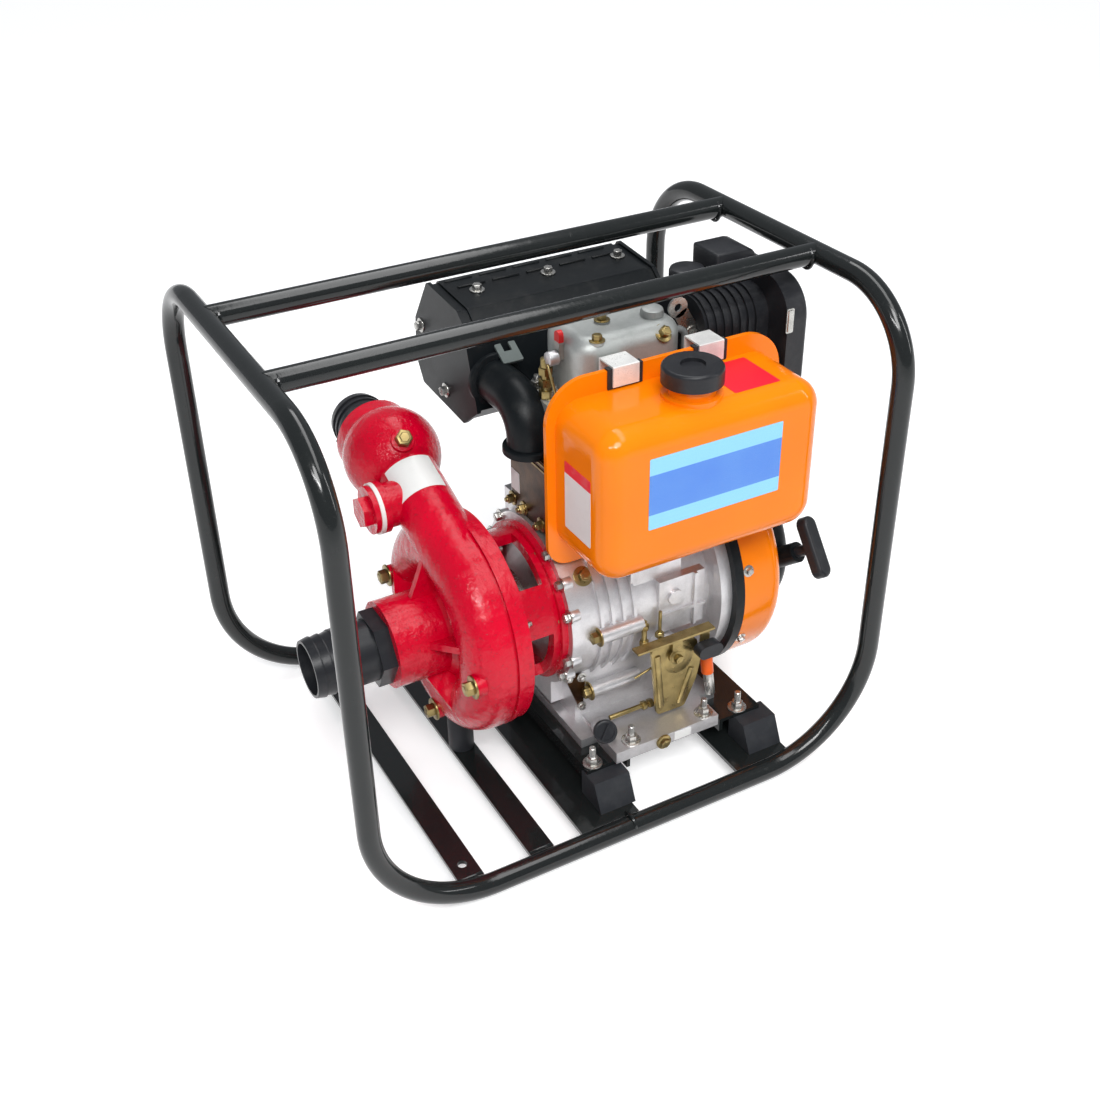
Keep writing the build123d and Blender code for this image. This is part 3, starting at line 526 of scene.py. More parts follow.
def stand_copies(model, stands, finish, slot=None, body="frame"):
    """Stand a copy of a model, with its own mesh, at each place, and take the model away."""
    settle(model)
    smooth(model)
    for number, stand in enumerate(stands, 1):
        copy = model.copy()
        copy.data = model.data.copy()
        copy.name = f"{model.name}_{number}"
        bpy.context.collection.objects.link(copy)
        copy.data.transform(stand)
        finish_piece(copy, finish, slot, body)
    bpy.data.objects.remove(model)


def cylinder(name, sides, radius, height, middle=0.0, **more):
    """A cylinder about the Z axis; middle is the level of its centre."""
    return start(bpy.ops.mesh.primitive_cylinder_add, name, vertices=sides, radius=radius,
                 depth=height, location=(0.0, 0.0, middle), **more)


def rounded_disc(name, radius, height, sides, rounding, base=0.0):
    """A disc whose top edge is rounded; with six sides, the head of a bolt."""
    disc = cylinder(name, sides, radius, height, base + height / 2)
    with edit_mode(disc):
        pick("EDGE", edge_level(height / 2))
        bevel(rounding)
    return disc


def hex_head(name, across, washer=True):
    """A hexagon head with a crowned top on its washer."""
    height, thick = 0.62 * across, 0.13 * across if washer else 0.0
    head = rounded_disc(name, across / sqrt(3), height, 6, 0.07 * across, thick)
    with edit_mode(head):
        pick("FACE", top_face(height / 2))
        bpy.ops.mesh.inset(thickness=0.10 * across)
        grow(0.05 * across)
        scale_ring(0.85)
    if not washer:
        return head
    return join(name, [head, rounded_disc("washer", 0.92 * across, thick, 28, 0.3 * thick)])


def nut_on_stud(name, across, stick_out):
    """A nut on its washer with the threaded end of the stud above it."""
    nut = hex_head(name, across)
    pitch, radius = 0.16 * across, 0.31 * across
    stud = cylinder("stud", 18, radius, 0.7 * across, 0.5 * across)
    with edit_mode(stud):
        pick("FACE", top_face(0.35 * across))
        for _ in range(int(stick_out / pitch)):
            grow(pitch / 2)
            scale_ring(0.86)
            grow(pitch / 2)
            scale_ring(1 / 0.86)
        grow(0.06 * across)
        scale_ring(0.8)
    return join(name, [nut, stud])


def stand_bolts(name, across, stands, finish="zinc_yellow", washer=True, body="frame"):
    """Stand hexagon heads."""
    stand_copies(hex_head(name, across, washer), stands, finish, body=body)


def stand_nuts(name, across, stick_out, stands, finish="zinc_bright"):
    """Stand nuts on their studs."""
    stand_copies(nut_on_stud(name, across, stick_out), stands, finish)


def plain_rod(name, radius, length, sides=20):
    """A rod with chamfered ends, standing on the origin."""
    rod = cylinder(name, sides, radius, length, length / 2)
    with edit_mode(rod):
        pick("EDGE", lambda e: edge_level(length / 2)(e) or edge_level(-length / 2)(e))
        bevel(0.15 * radius)
    return rod


def stand_rod(name, radius, low, high, finish="zinc_yellow", sides=20):
    """Stand a rod from one point to another, in millimetres."""
    run = mm(*high) - mm(*low)
    stand_copies(plain_rod(name, radius, run.length, sides), [facing(mm(*low), run)], finish)


def flat_plate(name, low, high, thickness, rounding):
    """A thin plate on the XY plane, with rounded corners, between two corners in millimetres."""
    low, high = mm(*low, 0.0), mm(*high, 0.0)
    width, depth = high[0] - low[0], high[1] - low[1]
    plate = start(bpy.ops.mesh.primitive_plane_add, name, size=1.0,
                  location=((low[0] + high[0]) / 2, (low[1] + high[1]) / 2, 0.0))
    plate.scale = (width, depth, 1.0)
    settle(plate)
    with edit_mode(plate):
        pick_all()
        bevel(rounding, 4, affect="VERTICES")
        pick_all()
        grow(thickness)
        pick_all()
        bpy.ops.mesh.normals_make_consistent(inside=False)
    return plate


class PUMP_OT_stage(bpy.types.Operator):
    """Set the floor, the lamps and the camera"""
    bl_idname = "pump.stage"
    bl_label = "Stage"

    def execute(self, context):
        scene = context.scene
        camera = scene.pump_camera
        self.lay_floor(tuple(scene.pump_colours.floor))
        self.hang_world(scene)
        place = Vector(camera.place)
        bpy.ops.object.camera_add(location=place)
        eye = context.object
        eye.data.lens = camera.lens
        eye.data.sensor_width = 36.0
        look = (Vector(camera.aim) - place).to_track_quat("-Z", "Y").to_matrix().to_4x4()
        eye.matrix_world = Matrix.Translation(place) @ look @ Matrix.Rotation(camera.roll, 4, "Z")
        scene.camera = eye
        # Name, place, size in metres and power in watts of the area lamps.
        for name, spot, size, power in (("key", (-1.3, -1.7, 2.3), (1.6, 0.14), 22.0),
                                        ("side", (2.0, -1.5, 1.5), (0.14, 1.6), 9.0),
                                        ("top", (0.5, 0.0, 2.4), (3.0, 0.7), 30.0)):
            bpy.ops.object.light_add(type="AREA", location=spot)
            lamp = context.object
            lamp.name = name
            lamp.data.shape = "RECTANGLE"
            lamp.data.size, lamp.data.size_y = size
            lamp.data.energy = power
            lamp.rotation_euler = (Vector(camera.aim) - Vector(spot)).to_track_quat("-Z", "Y").to_euler()
        bpy.ops.object.light_add(type="SUN", rotation=(radians(38.0), radians(-14.0), 0.0))
        context.object.name = "sky"
        context.object.data.energy = 1.6
        context.object.data.angle = radians(24.0)
        scene.view_settings.view_transform = "Standard"
        return {"FINISHED"}

    @staticmethod
    def unlit_rays(g):
        """One for the rays that should meet a plain white background."""
        path = g.tree.nodes.new("ShaderNodeLightPath")
        camera, glossy, through = (Wire(g, path.outputs[name]) for name in (
            "Is Camera Ray", "Is Glossy Ray", "Is Transmission Ray"))
        return camera.math("MAXIMUM", camera, glossy.math("MAXIMUM", glossy, through))

    def lay_floor(self, colour):
        """The floor, lifted to white for the rays that should see a plain background."""
        floor = start(bpy.ops.mesh.primitive_plane_add, "floor", size=60.0)
        g = Graph("floor")
        lift = g.mix(self.unlit_rays(g), (0.0, 0.0, 0.0), (1.0, 1.0, 1.0))
        g.set(Base_Color=colour, Roughness=0.9, Specular_IOR_Level=0.1,
              Emission_Color=lift, Emission_Strength=0.41)
        floor.data.materials.append(g.material)

    def hang_world(self, scene):
        """A white backdrop for the camera, and a soft grey sky for everything else."""
        world = bpy.data.worlds.new("studio")
        world.use_nodes = True
        scene.world = world
        tree = world.node_tree
        back = tree.nodes["Background"]
        path = tree.nodes.new("ShaderNodeLightPath")
        blend = tree.nodes.new("ShaderNodeMix")
        blend.data_type = "RGBA"
        colours = [s for s in blend.inputs if s.type == "RGBA"]
        colours[0].default_value = (0.30, 0.31, 0.33, 1.0)
        colours[1].default_value = (1.0, 1.0, 1.0, 1.0)
        tree.links.new(path.outputs["Is Camera Ray"], blend.inputs["Factor"])
        tree.links.new([s for s in blend.outputs if s.type == "RGBA"][0], back.inputs["Color"])


class PUMP_OT_finishes(bpy.types.Operator):
    """Give every piece of the frame its finish"""
    bl_idname = "pump.finishes"
    bl_label = "Finishes"

    def execute(self, context):
        own = {"rocker_cover": "rocker_grey", "cylinder_head": "rocker_grey", "tank_hooks": "hook_silver"}
        for subpart in frame["record"]["subparts"]:
            piece = frame["nodes"][subpart["node"]]
            piece.data.materials.clear()
            piece.data.materials.append(shop_finish(own.get(subpart["node"], subpart["material_slot"])))
        return {"FINISHED"}


class Fittings(bpy.types.Operator):
    """An operator that makes pieces by the sizes that the user can change."""

    def execute(self, context):
        self.make(context.scene.pump_sizes)
        return {"FINISHED"}


class PUMP_OT_frame_fittings(Fittings):
    """Weld beads of the tube frame, and the studs that hold the engine to its channels"""
    bl_idname = "pump.frame_fittings"
    bl_label = "Frame fittings"

    def make(self, sizes):
        ring = start(bpy.ops.mesh.primitive_torus_add, "weld_ring", major_segments=48, minor_segments=8,
                     major_radius=0.0125, minor_radius=sizes.weld_height)
        with edit_mode(ring):
            pick_all()
            bpy.ops.transform.vertex_random(offset=0.0003, seed=3)
        reach = sizes.weld_height / MM
        rail_ends = [at(side * 315.0, y, 602.2 - reach, (side, 0.0, 0.0), 10.0 * side)
                     for side in (-1, 1) for y in (-86.0, 97.0)]
        joint = [at(-7.7, -249.7 + reach, 12.8 + reach, EAST)]
        stand_copies(ring, rail_ends + joint, "frame_black")

        bead = plain_rod("strap_bead", 0.0022, 0.029, 8)
        with edit_mode(bead):
            pick_all()
            bpy.ops.mesh.subdivide(number_cuts=4)
            bpy.ops.transform.vertex_random(offset=0.0004, seed=5)
        beads = [at(x - 14.5, side * 237.8, 22.2, EAST) for x in (-213.0, -123.0) for side in (-1, 1)]
        stand_copies(bead, beads, "frame_black")

        # Name, how far the stud sticks out, turn in degrees, and places in millimetres.
        for name, stick_out, turn, places in (
                ("channel_nut", 0.014, 12.0, [(x, y, 62.0) for x in (-20.0, 190.0) for y in (-180.0, 180.0)]),
                ("foot_nut", 0.012, 20.0, [(32.0, -183.0, 78.0), (136.0, -184.0, 78.0)]),
                ("back_foot_nut", 0.012, 20.0, [(x, 84.0, 74.0) for x in (32.0, 136.0)])):
            stand_nuts(name, sizes.middle_bolt, stick_out, [at(*place, UP, turn) for place in places])


class PUMP_OT_pump_fittings(Fittings):
    """Bolts and vent plug of the pump casing, the check valve and the lantern"""
    bl_idname = "pump.pump_fittings"
    bl_label = "Pump fittings"

    def make(self, sizes):
        spots = (mm(-151.0, -147.0, 209.0), mm(-153.5, -33.0, 97.5), mm(-155.0, 82.0, 228.0))
        boss = rounded_disc("bolt_boss", 0.0125, 0.012, 28, 0.0016)
        stand_copies(boss, [facing(s + mm(8.0, 0.0, 0.0), WEST) for s in spots], "pump_red")
        stand_bolts("casing_bolt", sizes.large_bolt * 0.9,
                    [facing(s - mm(4.0, 0.0, 0.0), WEST, 14.0 * n) for n, s in enumerate(spots)])

        vent_axis = (-0.03, -0.72, 0.70)
        vent = mm(-123.2, 86.7, 404.4)
        stand_copies(rounded_disc("vent_boss", 0.0145, 0.006, 32, 0.0018),
                     [facing(vent - Vector(vent_axis) * 0.003, vent_axis)], "pump_red")
        stand_bolts("vent_plug", 0.018, [facing(vent + Vector(vent_axis) * 0.002, vent_axis, 10.0)],
                    washer=False)

        rim = around(-84.0, 112.0, EAST, (12.0, 60.0, 108.0, 157.0, 204.0, 252.0, 300.0, 336.0))
        stand_nuts("cover_nut", sizes.small_bolt, 0.004, rim)
        flange = around(-29.0, 84.0, WEST, (23.0, 112.0, 166.0, 226.0, 292.0, 338.0))
        stand_bolts("lantern_bolt", sizes.small_bolt, flange)
        screws = [facing(round_shaft(-48.0, 45.0, angle), (0.0, cos(radians(angle)), sin(radians(angle))))
                  for angle in (62.0, 182.0, 302.0)]
        stand_bolts("coupling_screw", 0.008, screws, "steel", washer=False, body="shaft")


class PUMP_OT_plates(Fittings):
    """Bare plates and tags: tank front and side, filler patch, neck tag, cylinder and sill plates"""
    bl_idname = "pump.plates"
    bl_label = "Plates"

    def make(self, sizes):
        colours = bpy.context.scene.pump_colours
        thick = sizes.plate_thickness
        low, high = 388.0, 475.0
        banded = banded_plate("plate_banded", tuple(colours.plate_blue), tuple(colours.plate_sky),
                              (low + 0.21 * (high - low)) * MM, (high - 0.23 * (high - low)) * MM)
        headed = headed_plate("plate_headed", tuple(colours.plate_white), tuple(colours.plate_crimson),
                              437.0 * MM)
        # Name, turn, move, low and high corner in millimetres, rounding, finish and slot.
        for name, turn, offset, low_corner, high_corner, rounding, finish, slot in (
                ("tank_plate", FACE_SOUTH, (0.0, -206.0, 0.0), (34.0, low), (205.0, high), 0.0015,
                 banded, "tank_orange"),
                ("tank_side_plate", FACE_WEST, (-22.0, 0.0, 0.0), (124.0, 368.0), (179.0, 451.0), 0.0015,
                 headed, "tank_orange"),
                ("filler_patch", Matrix(), (0.0, 0.0, 509.0), (158.0, -180.0), (218.0, -111.0), 0.002,
                 "plate_crimson", "tank_orange"),
                ("cylinder_plate", FACE_WEST, (-16.0, 0.0, 0.0), (-18.0, 345.0), (3.0, 372.0), 0.001,
                 "plate_white", "shroud_brown"),
                ("sill_plate", FACE_SOUTH, (0.0, -196.0, 0.0), (86.0, 64.0), (110.0, 76.0), 0.001,
                 "plate_white", "cast_aluminium")):
            plate = flat_plate(name, low_corner, high_corner, thick, rounding)
            settle(plate, shift(*offset) @ turn)
            finish_piece(plate, finish, slot)
        self.wrap_neck(thick)

    @staticmethod
    def wrap_neck(thick):
        """A tag bent over the outlet neck."""
        radius, length, rise = 0.0371, 0.050, radians(20.0)
        tag = cylinder("neck_tag", 96, radius, length, end_fill_type="NOTHING")
        with edit_mode(tag):
            pick("FACE", lambda f: abs(Vector(f.calc_center_median().xy).angle(Vector((0.22, 1.0)))) > 0.86)
            bpy.ops.mesh.delete(type="FACE")
            pick_all()
            bpy.ops.mesh.solidify(thickness=-thick)
        root = mm(-121.0, -61.2, 304.15)
        along = Vector((0.0, cos(rise), sin(rise)))
        up = Vector((0.0, -sin(rise), cos(rise)))
        stand = Matrix.Translation(root + along * 0.127) @ Matrix((
            (-1.0, up.x, along.x), (0.0, up.y, along.y), (0.0, up.z, along.z))).to_4x4()
        settle(tag, stand)
        smooth(tag)
        finish_piece(tag, "plate_white", "pump_red")


class PUMP_OT_crankcase_fittings(Fittings):
    """Bolts, studs, plugs and small plates on the crankcase"""
    bl_idname = "pump.crankcase_fittings"
    bl_label = "Crankcase fittings"

    def make(self, sizes):
        angles = (22.0, 48.0, 120.0, 141.0, 162.0, 197.0, 216.0, 318.0, 342.0)
        lug = plain_rod("cover_lug", 0.0075, 0.012, 24)
        stand_copies(lug, [facing(round_shaft(-8.9, 106.0, a), WEST) for a in angles], "cast_aluminium")
        stand_bolts("cover_bolt", sizes.small_bolt, around(-20.9, 106.0, WEST, angles), "zinc_bright")

        heads = (at(12.0, -140.0, 212.0, WEST, 15.0), at(12.0, -119.0, 117.0, WEST, 40.0),
                 at(7.0, -110.6, 282.4, (0.0, -0.77, 0.64), 8.0))
        stand_bolts("boss_bolt", sizes.middle_bolt, heads)

        self.control_studs()
        self.plugs()
        self.pipe_cap_and_gusset(sizes)
        stand_bolts("plate_bolt", sizes.small_bolt, [at(106.0, -165.5, 163.0, SOUTH, 9.0)])

    @staticmethod
    def control_studs():
        """The governor's upright studs and the long adjusting screw below them."""
        for name, radius, low, high in (
                ("governor_stud_1", 3.4, (71.0, -146.0, 181.0), (71.0, -146.0, 217.0)),
                ("governor_stud_2", 2.2, (95.0, -143.0, 181.0), (95.0, -143.0, 221.0)),
                ("adjusting_screw", 3.2, (22.0, -149.0, 92.0), (80.0, -149.0, 92.0)),
                ("governor_link", 1.4, (56.0, -150.0, 140.0), (84.0, -152.0, 150.0))):
            stand_rod(name, radius * MM, low, high)
        nuts = [at(71.0, -146.0, z, UP, 12.0) for z in (183.0, 206.0)]
        nuts += [at(x, -149.0, 92.0, EAST, 7.0) for x in (68.0, 77.0)]
        nuts += [at(95.0, -143.0, 184.0, UP, 3.0)]
        stand_bolts("adjusting_nut", 0.010, nuts, washer=False)

    @staticmethod
    def plugs():
        """The slotted oil filler plug on its neck, and the drain plug."""
        axis = Vector((-0.28, -0.86, 0.42))
        spot = mm(7.0, -163.0, 88.0)
        stand_copies(plain_rod("oil_neck", 0.0125, 0.026, 32), [facing(spot - axis * 0.026, axis)],
                     "cast_aluminium")
        plug = rounded_disc("oil_plug", 0.0145, 0.007, 40, 0.0016)
        with edit_mode(plug):
            pick("FACE", top_face(0.0035))
            bpy.ops.mesh.inset(thickness=0.0022)
            grow(-0.0012)
        bar = flat_plate("bar", (-11.0, -2.0), (11.0, 2.0), 0.0055, 0.0015)
        bar.data.transform(Matrix.Translation((0.0, 0.0, 0.0025)))
        stand_copies(join("oil_plug", [plug, bar]), [facing(spot, axis, 62.0)], "black_plastic")
        drain = join("drain_plug", [hex_head("drain_plug", 0.011, washer=False),
                                    rounded_disc("flange", 0.0098, 0.0032, 32, 0.0012)])
        stand_copies(drain, [at(70.0, -196.0, 69.5, SOUTH, 12.0)], "zinc_yellow")

    @staticmethod
    def pipe_cap_and_gusset(sizes):
        """The capped oil pipe behind the sill, and the three-bolt gusset beside the gear cover."""
        stand_rod("oil_pipe", 0.0065, (168.0, -152.0, 74.0), (166.0, -146.0, 112.0), "zinc_bright", 28)
        stand_rod("pipe_cap", 0.0078, (166.2, -146.6, 104.0), (165.0, -143.0, 132.0), "cap_orange", 28)

        corner = 0.024
        gusset = cylinder("gusset", 3, corner, 0.004)
        with edit_mode(gusset):
            pick("EDGE", lambda e: abs(e.verts[0].co.z - e.verts[1].co.z) > 0.003)
            bevel(0.006, 6)
            pick("EDGE", edge_level(0.002))
            bevel(0.0008)
        # The three corners of the plate take the prism's corners, which lie at 0, 120 and 240 degrees.
        left, right, low = (mm(x, -114.0, z) for x, z in ((-22.0, 151.0), (8.0, 142.0), (3.0, 82.0)))
        centre = (left + right + low) / 3.0
        stand = Matrix(((right - low) / (corner * sqrt(3.0)), (left - centre) / corner, SOUTH)).transposed()
        stand_copies(gusset, [Matrix.Translation(centre) @ stand.to_4x4()], "shroud_brown")
        bolts = [at(x, -116.0, z, SOUTH, x) for x, z in ((-16.0, 145.0), (2.0, 140.0), (1.5, 96.0))]
        stand_bolts("gusset_bolt", sizes.small_bolt * 0.7, bolts, "zinc_bright")


class PUMP_OT_control_pressings(Fittings):
    """Pressed dish and ribs of the control plate"""
    bl_idname = "pump.control_pressings"
    bl_label = "Control plate pressings"

    def make(self, sizes):
        # The dish is the cap of a ball, cut at its rim and sunk until this level lies on the plate.
        ball, rim, level = 0.085, 0.0823, 0.0825
        dish = start(bpy.ops.mesh.primitive_uv_sphere_add, "control_dish", segments=56, ring_count=160,
                     radius=ball)
        with edit_mode(dish):
            pick("VERT", lambda v: v.co.z < rim)
            bpy.ops.mesh.delete(type="VERT")
            pick("EDGE", lambda e: e.is_boundary)
            bpy.ops.mesh.edge_face_add()
        dish.data.transform(Matrix.Translation((0.0, 0.0, -level)))
        stand_copies(dish, [at(111.0, -162.0, 156.0, SOUTH)], "zinc_yellow")
        for name, first, second in (("control_rib_1", (130.0, -162.0, 137.0), (114.0, -162.0, 88.0)),
                                    ("control_rib_2", (80.0, -162.0, 172.0), (88.0, -162.0, 92.0))):
            run = mm(*second) - mm(*first)
            rib = plain_rod(name, 0.0042, run.length, 20)
            with edit_mode(rib):
                pick_all()
                bpy.ops.transform.resize(value=(0.5, 1.0, 1.0), center_override=(0.0, 0.0, 0.0))
            turn = Matrix((run.cross(Vector(SOUTH)).normalized(), SOUTH, run.normalized())).transposed()
            stand = shift(*first) @ (turn @ Matrix.Rotation(pi / 2, 3, "Z")).to_4x4()
            stand_copies(rib, [stand], "zinc_yellow")


class PUMP_OT_cylinder_fittings(Fittings):
    """Trim, nuts, injector and pipe unions of the cylinder and its head"""
    bl_idname = "pump.cylinder_fittings"
    bl_label = "Cylinder fittings"

    def make(self, sizes):
        for number, (low, high) in enumerate(((403.0, 405.2), (410.5, 412.7)), 1):
            side = flat_plate(f"shroud_trim_{number}", (-23.0, low), (75.0, high), 0.0009, 0.0004)
            settle(side, shift(-16.0, 0.0, 0.0) @ FACE_WEST)
            finish_piece(side, "zinc_yellow")
        nuts = [at(-15.8, y, 330.0, WEST, y) for y in (16.0, -12.0, -55.0)]
        stand_nuts("cylinder_nut", sizes.small_bolt, 0.003, nuts, "zinc_yellow")
        head_nuts = [at(x, y, 472.0, UP, x) for x, y in (
            (16.0, 8.0), (20.0, -26.0), (160.0, -64.0), (160.0, 12.0))]
        stand_nuts("head_nut", sizes.middle_bolt, 0.005, head_nuts)
        body = plain_rod("injector", 0.0062, 0.050, 28)
        stand_copies(body, [at(12.5, -21.0, 471.5, UP)], "zinc_yellow")
        housing = rounded_disc("lever_housing", 0.0085, 0.012, 32, 0.002)
        stand_copies(housing, [at(21.0, -30.0, 524.0, WEST)], "cast_aluminium")
        stand_rod("leak_off_pipe", 0.0017, (8.0, -33.0, 520.0), (11.0, -51.0, 480.0), sides=16)
        unions = [at(12.5, -21.0, z, UP, z) for z in (474.0, 488.0, 502.0)]
        stand_bolts("pipe_union", 0.015, unions, washer=False)
        stand_bolts("pump_union", 0.013, [at(97.0, -87.0, 305.0, UP, 20.0)], washer=False)


class PUMP_OT_muffler_fittings(Fittings):
    """Bolts and louvres of the muffler and its shield, the exhaust pipe and its bracket"""
    bl_idname = "pump.muffler_fittings"
    bl_label = "Muffler fittings"

    def make(self, sizes):
        lean = (0.0, -0.07, 1.0)
        bolts = [at(x, y, z, lean, x) for x, y, z in (
            (5.9, 134.9, 548.4), (103.4, 138.0, 548.8), (203.4, 141.0, 549.0))]
        stand_bolts("shield_bolt", sizes.small_bolt, bolts, "zinc_bright")
        ends = [at(x, y, z, (side, 0.0, 0.0), 17.0)
                for x, side in ((-40.0, -1.0), (230.0, 1.0)) for y, z in ((203.5, 487.8), (139.8, 426.4))]
        stand_bolts("end_bolt", sizes.small_bolt, ends, "zinc_bright")

        louvre = cylinder("louvre", 16, 0.0021, 0.036)
        with edit_mode(louvre):
            pick_all()
            bpy.ops.mesh.bisect(plane_co=(0.0, 0.0, 0.0), plane_no=EAST, clear_inner=True, use_fill=True)
            pick("EDGE", lambda e: abs(e.verts[0].co.z - e.verts[1].co.z) < 1e-5)
            bevel(0.0006)
        louvre.data.transform(Matrix.Rotation(pi / 2, 4, "Y") @ Matrix.Rotation(pi, 4, "Z"))
        rows = [(x, y, z) for x0, y, z in ((0.0, 150.0, 549.2), (-8.0, 170.0, 550.6))
                for x in (x0 + 6.0 + 46.0 * n for n in range(5))]
        tilt = Matrix.Rotation(radians(4.0), 4, "X")
        stand_copies(louvre, [shift(*r) @ tilt for r in rows], "heat_black")
        self.bracket()
        self.exhaust_pipe()

    @staticmethod
    def exhaust_pipe():
        """The fat pipe that leaves the muffler level and turns down to the cylinder."""
        radius, run, bend = 0.0255, 0.046, 0.038
        pipe = start(bpy.ops.mesh.primitive_circle_add, "exhaust_pipe", vertices=48, radius=radius,
                     rotation=(pi / 2, 0.0, 0.0))
        settle(pipe)
        with edit_mode(pipe):
            bpy.ops.mesh.select_mode(type="EDGE")
            pick_all()
            grow(0.0, y=-run)
            bpy.ops.mesh.spin(steps=16, angle=-pi / 2, center=(0.0, -run, -bend), axis=EAST)
            grow(-0.014)
            pick_all()
            bpy.ops.mesh.remove_doubles(threshold=0.00001)
            pick("EDGE", lambda e: e.is_boundary)
            bpy.ops.mesh.edge_face_add()
            pick_all()
            bpy.ops.mesh.normals_make_consistent(inside=False)
        collar = rounded_disc("collar", 0.033, 0.006, 48, 0.0015)
        settle(collar, facing(Vector((0.0, 0.002, 0.0)), SOUTH))
        foot = rounded_disc("foot", 0.031, 0.008, 48, 0.002)
        settle(foot, Matrix.Translation((0.0, -run - bend, -bend - 0.016)))
        pipe = join("exhaust_pipe", [pipe, collar, foot])
        settle(pipe, shift(-12.0, 62.0, 467.0))
        smooth(pipe)
        finish_piece(pipe, "heat_black")
        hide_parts("exhaust_elbow")

    @staticmethod
    def bracket():
        """The U-slotted bracket between the muffler and the exhaust pipe."""
        def in_slot(face, low):
            middle = face.calc_center_median()
            return abs(middle.x) < 0.0049 and middle.y > low

        plate = flat_plate("exhaust_bracket", (-13.0, -14.0), (13.0, 14.0), 0.003, 0.0015)
        with edit_mode(plate):
            pick_all()
            for x in (-0.005, 0.005):
                bpy.ops.mesh.bisect(plane_co=(x, 0.0, 0.0), plane_no=EAST)
                pick_all()
            for y in (0.002, -0.0015):
                bpy.ops.mesh.bisect(plane_co=(0.0, y, 0.0), plane_no=(0.0, 1.0, 0.0))
                pick_all()
            pick("FACE", lambda f: in_slot(f, 0.0021) and abs(f.normal.z) > 0.9)
            bpy.ops.mesh.delete(type="FACE")
            pick("FACE", lambda f: in_slot(f, 0.0139))
            bpy.ops.mesh.delete(type="FACE")
            pick("EDGE", lambda e: e.is_boundary and abs(e.verts[0].co.z - e.verts[1].co.z) < 0.0001)
            bpy.ops.mesh.bridge_edge_loops()
        slope = Matrix.Rotation(radians(30.0), 4, "X")
        stand_copies(plate, [shift(6.0, 58.0, 497.0) @ slope], "bracket_grey")


class PUMP_OT_rocker_fittings(Fittings):
    """Bolts, breather boss, hose banjo and lifting bracket of the rocker cover"""
    bl_idname = "pump.rocker_fittings"
    bl_label = "Rocker fittings"

    def make(self, sizes):
        pillars = ((54.0, -63.0, 545.5), (81.0, -27.8, 550.5))
        pillar = rounded_disc("rocker_pillar", 0.008, 0.004, 28, 0.0012)
        stand_copies(pillar, [at(*place, UP) for place in pillars], "rocker_grey")
        stand_bolts("rocker_bolt", sizes.small_bolt, [at(x, y, z + 3.8, UP, x) for x, y, z in pillars])
        boss = rounded_disc("breather_boss", 0.0135, 0.012, 40, 0.005)
        stand_copies(boss, [at(139.0, -40.0, 550.0, (0.0, -0.1, 1.0))], "rocker_grey")
        stand_bolts("hose_banjo", 0.012, [at(136.0, -68.0, 541.0, (0.1, -0.75, 0.65))])
        self.lifting_bracket(sizes)

    @staticmethod
    def lifting_bracket(sizes):
        """A plated strap with an eye, bolted beside the rocker cover."""
        eye = start(bpy.ops.mesh.primitive_cylinder_add, "lifting_bracket", vertices=40, radius=0.0125,
                    depth=0.003, location=(0.0, 0.021, 0.0015))
        with edit_mode(eye):
            pick("FACE", lambda f: abs(f.normal.z) > 0.9)
            bpy.ops.mesh.inset(thickness=0.0075)
            bpy.ops.mesh.bridge_edge_loops()
        leg = flat_plate("leg", (-9.5, -30.0), (9.5, 14.0), 0.003, 0.004)
        foot = hex_head("foot", sizes.small_bolt)
        settle(foot, shift(0.0, -20.0, 3.0))
        stand = shift(182.0, -42.0, 537.0) @ Matrix(
            ((0.86, -0.51, 0.0), (0.0, 0.0, -1.0), (0.51, 0.86, 0.0))).to_4x4()
        stand_copies(join("lifting_bracket", [eye, leg, foot]), [stand], "zinc_bright")


class PUMP_OT_filter_fittings(Fittings):
    """Clamp knob, clips and lid of the air filter, and the hood on its intake duct"""
    bl_idname = "pump.filter_fittings"
    bl_label = "Air filter fittings"

    def make(self, sizes):
        knob = rounded_disc("filter_knob", 0.013, 0.012, 12, 0.0022)
        with edit_mode(knob):
            pick("FACE", lambda f: abs(f.normal.z) < 0.5 and abs(f.calc_center_median().z) < 0.004)
            bpy.ops.mesh.inset(thickness=0.0007, depth=-0.0008, use_individual=True)
        stand_copies(knob, [at(314.0, -22.0, 486.0, EAST)], "black_plastic")
        clip = flat_plate("filter_clip", (-5.0, -15.0), (5.0, 15.0), 0.0016, 0.002)
        with edit_mode(clip):
            pick("FACE", lambda f: f.normal.z > 0.9)
            bpy.ops.mesh.inset(thickness=0.002)
            grow(0.0012)
        stands = [at(286.0, -102.0, z, SOUTH) for z in (440.0, 535.0)]
        stand_copies(clip, stands, "zinc_bright")
        lid = rounded_disc("filter_lid", 0.0215, 0.020, 48, 0.005)
        stand_copies(lid, [at(221.0, 13.0, 555.0, UP)], "black_plastic")
        hood = start(bpy.ops.mesh.primitive_cube_add, "intake_hood", size=1.0,
                     location=mm(279.0, 21.0, 572.0))
        hood.scale = (0.057, 0.052, 0.032)
        settle(hood)
        with edit_mode(hood):
            pick("EDGE", lambda e: all(v.co.x > 0.29 and v.co.z > 0.58 for v in e.verts))
            bevel(0.014, 3)
            pick_all()
            bevel(0.003, 3)
        stand_copies(hood, [Matrix()], "black_plastic")


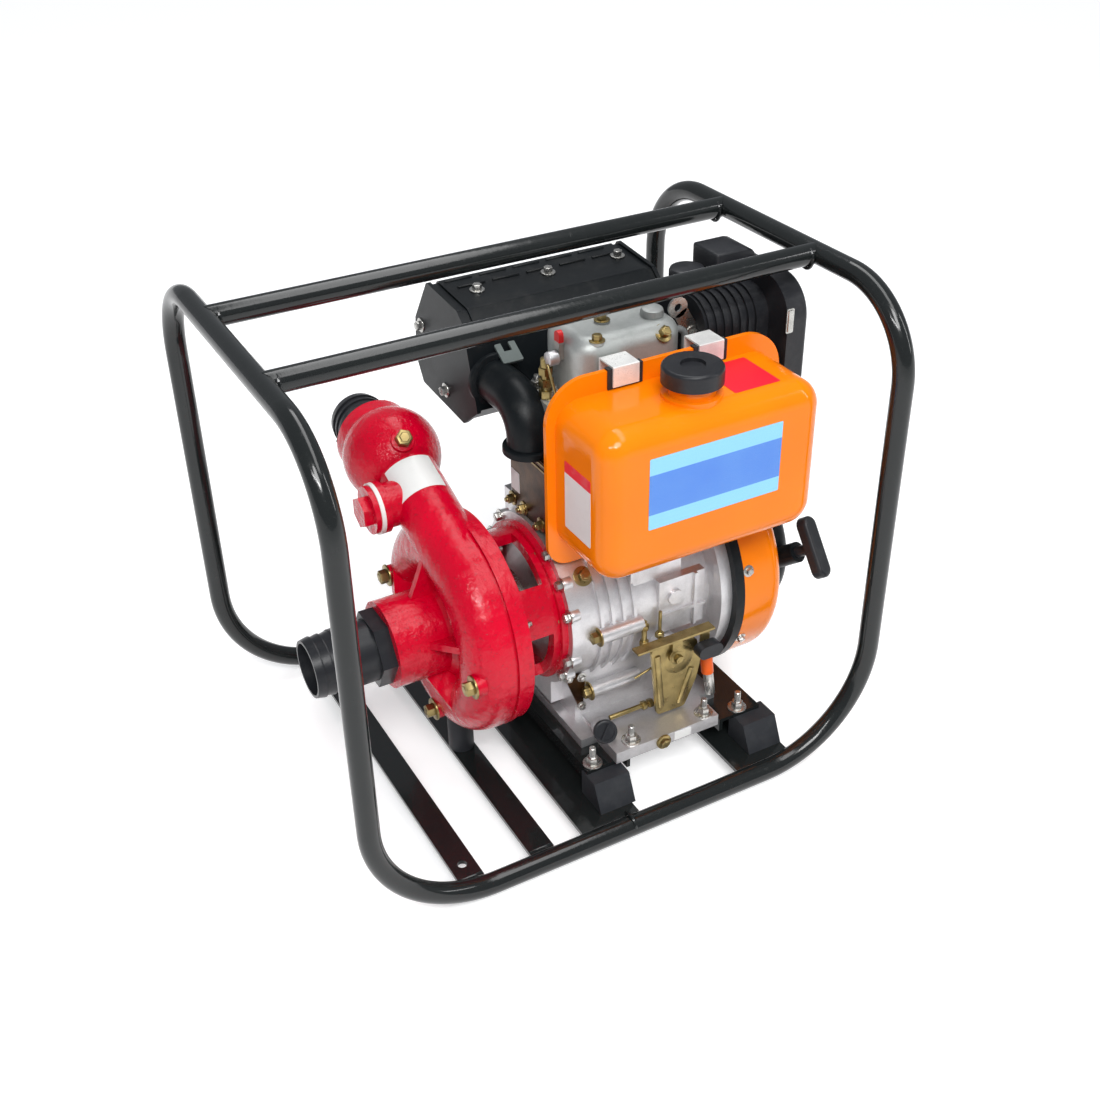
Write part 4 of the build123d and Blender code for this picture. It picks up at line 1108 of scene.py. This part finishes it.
class PUMP_OT_starter_fittings(Fittings):
    """Bolts of the fan cowl and the recoil starter, and dark plates of painted shade standing for its air
    slots
    """
    bl_idname = "pump.starter_fittings"
    bl_label = "Starter fittings"

    def make(self, sizes):
        rim = around(258.0, 122.0, EAST, (20.0, 80.0, 140.0, 200.0, 260.0, 320.0))
        stand_bolts("cowl_bolt", sizes.small_bolt, rim, "zinc_bright")
        edge = [facing(round_shaft(204.0, 143.6, a), (0.0, cos(radians(a)), sin(radians(a))))
                for a in (163.0, 205.0, 335.0)]
        stand_bolts("seam_bolt", sizes.small_bolt * 0.8, edge, "zinc_bright")
        # The air slots are thin plates in the dark rubber finish: painted shade where the starter has
        # openings.
        slot = flat_plate("air_slot", (-2.5, 50.0), (2.5, 80.0), 0.0008, 0.0024)
        with edit_mode(slot):
            pick("FACE", lambda f: f.normal.z > 0.9)
            bpy.ops.mesh.inset(thickness=0.0008)
            grow(-0.0005)
        turns = [shift(300.0, SHAFT_Y, SHAFT_Z) @ Matrix.Rotation(pi / 2, 4, "Y")
                 @ Matrix.Rotation(radians(20.0 * n), 4, "Z") for n in range(18)]
        stand_copies(slot, turns, "rubber")


class PUMP_PT_panel(bpy.types.Panel):
    """Pieces and finishes of the water pump"""
    bl_label = "Water Pump"
    bl_idname = "PUMP_PT_panel"
    bl_space_type = "VIEW_3D"
    bl_region_type = "UI"
    bl_category = "Water Pump"

    def draw(self, context):
        for step in STEPS:
            self.layout.operator(step.bl_idname)


STEPS = (PUMP_OT_stage, PUMP_OT_finishes, PUMP_OT_frame_fittings, PUMP_OT_pump_fittings, PUMP_OT_plates,
         PUMP_OT_crankcase_fittings, PUMP_OT_control_pressings, PUMP_OT_cylinder_fittings,
         PUMP_OT_muffler_fittings, PUMP_OT_rocker_fittings, PUMP_OT_filter_fittings,
         PUMP_OT_starter_fittings)
SETTINGS = {"pump_camera": PumpCameraSettings, "pump_colours": PumpColourSettings,
            "pump_sizes": PumpSizeSettings}
CLASSES = (*SETTINGS.values(), *STEPS, PUMP_PT_panel)


def register():
    for cls in CLASSES:
        bpy.utils.register_class(cls)
    for name, group in SETTINGS.items():
        setattr(bpy.types.Scene, name, bpy.props.PointerProperty(type=group))


def unregister():
    for name in SETTINGS:
        delattr(bpy.types.Scene, name)
    for cls in reversed(CLASSES):
        bpy.utils.unregister_class(cls)


def main():
    register()
    for step in STEPS:
        group, name = step.bl_idname.split(".")
        getattr(getattr(bpy.ops, group), name)()


if __name__ == "__main__":
    main()
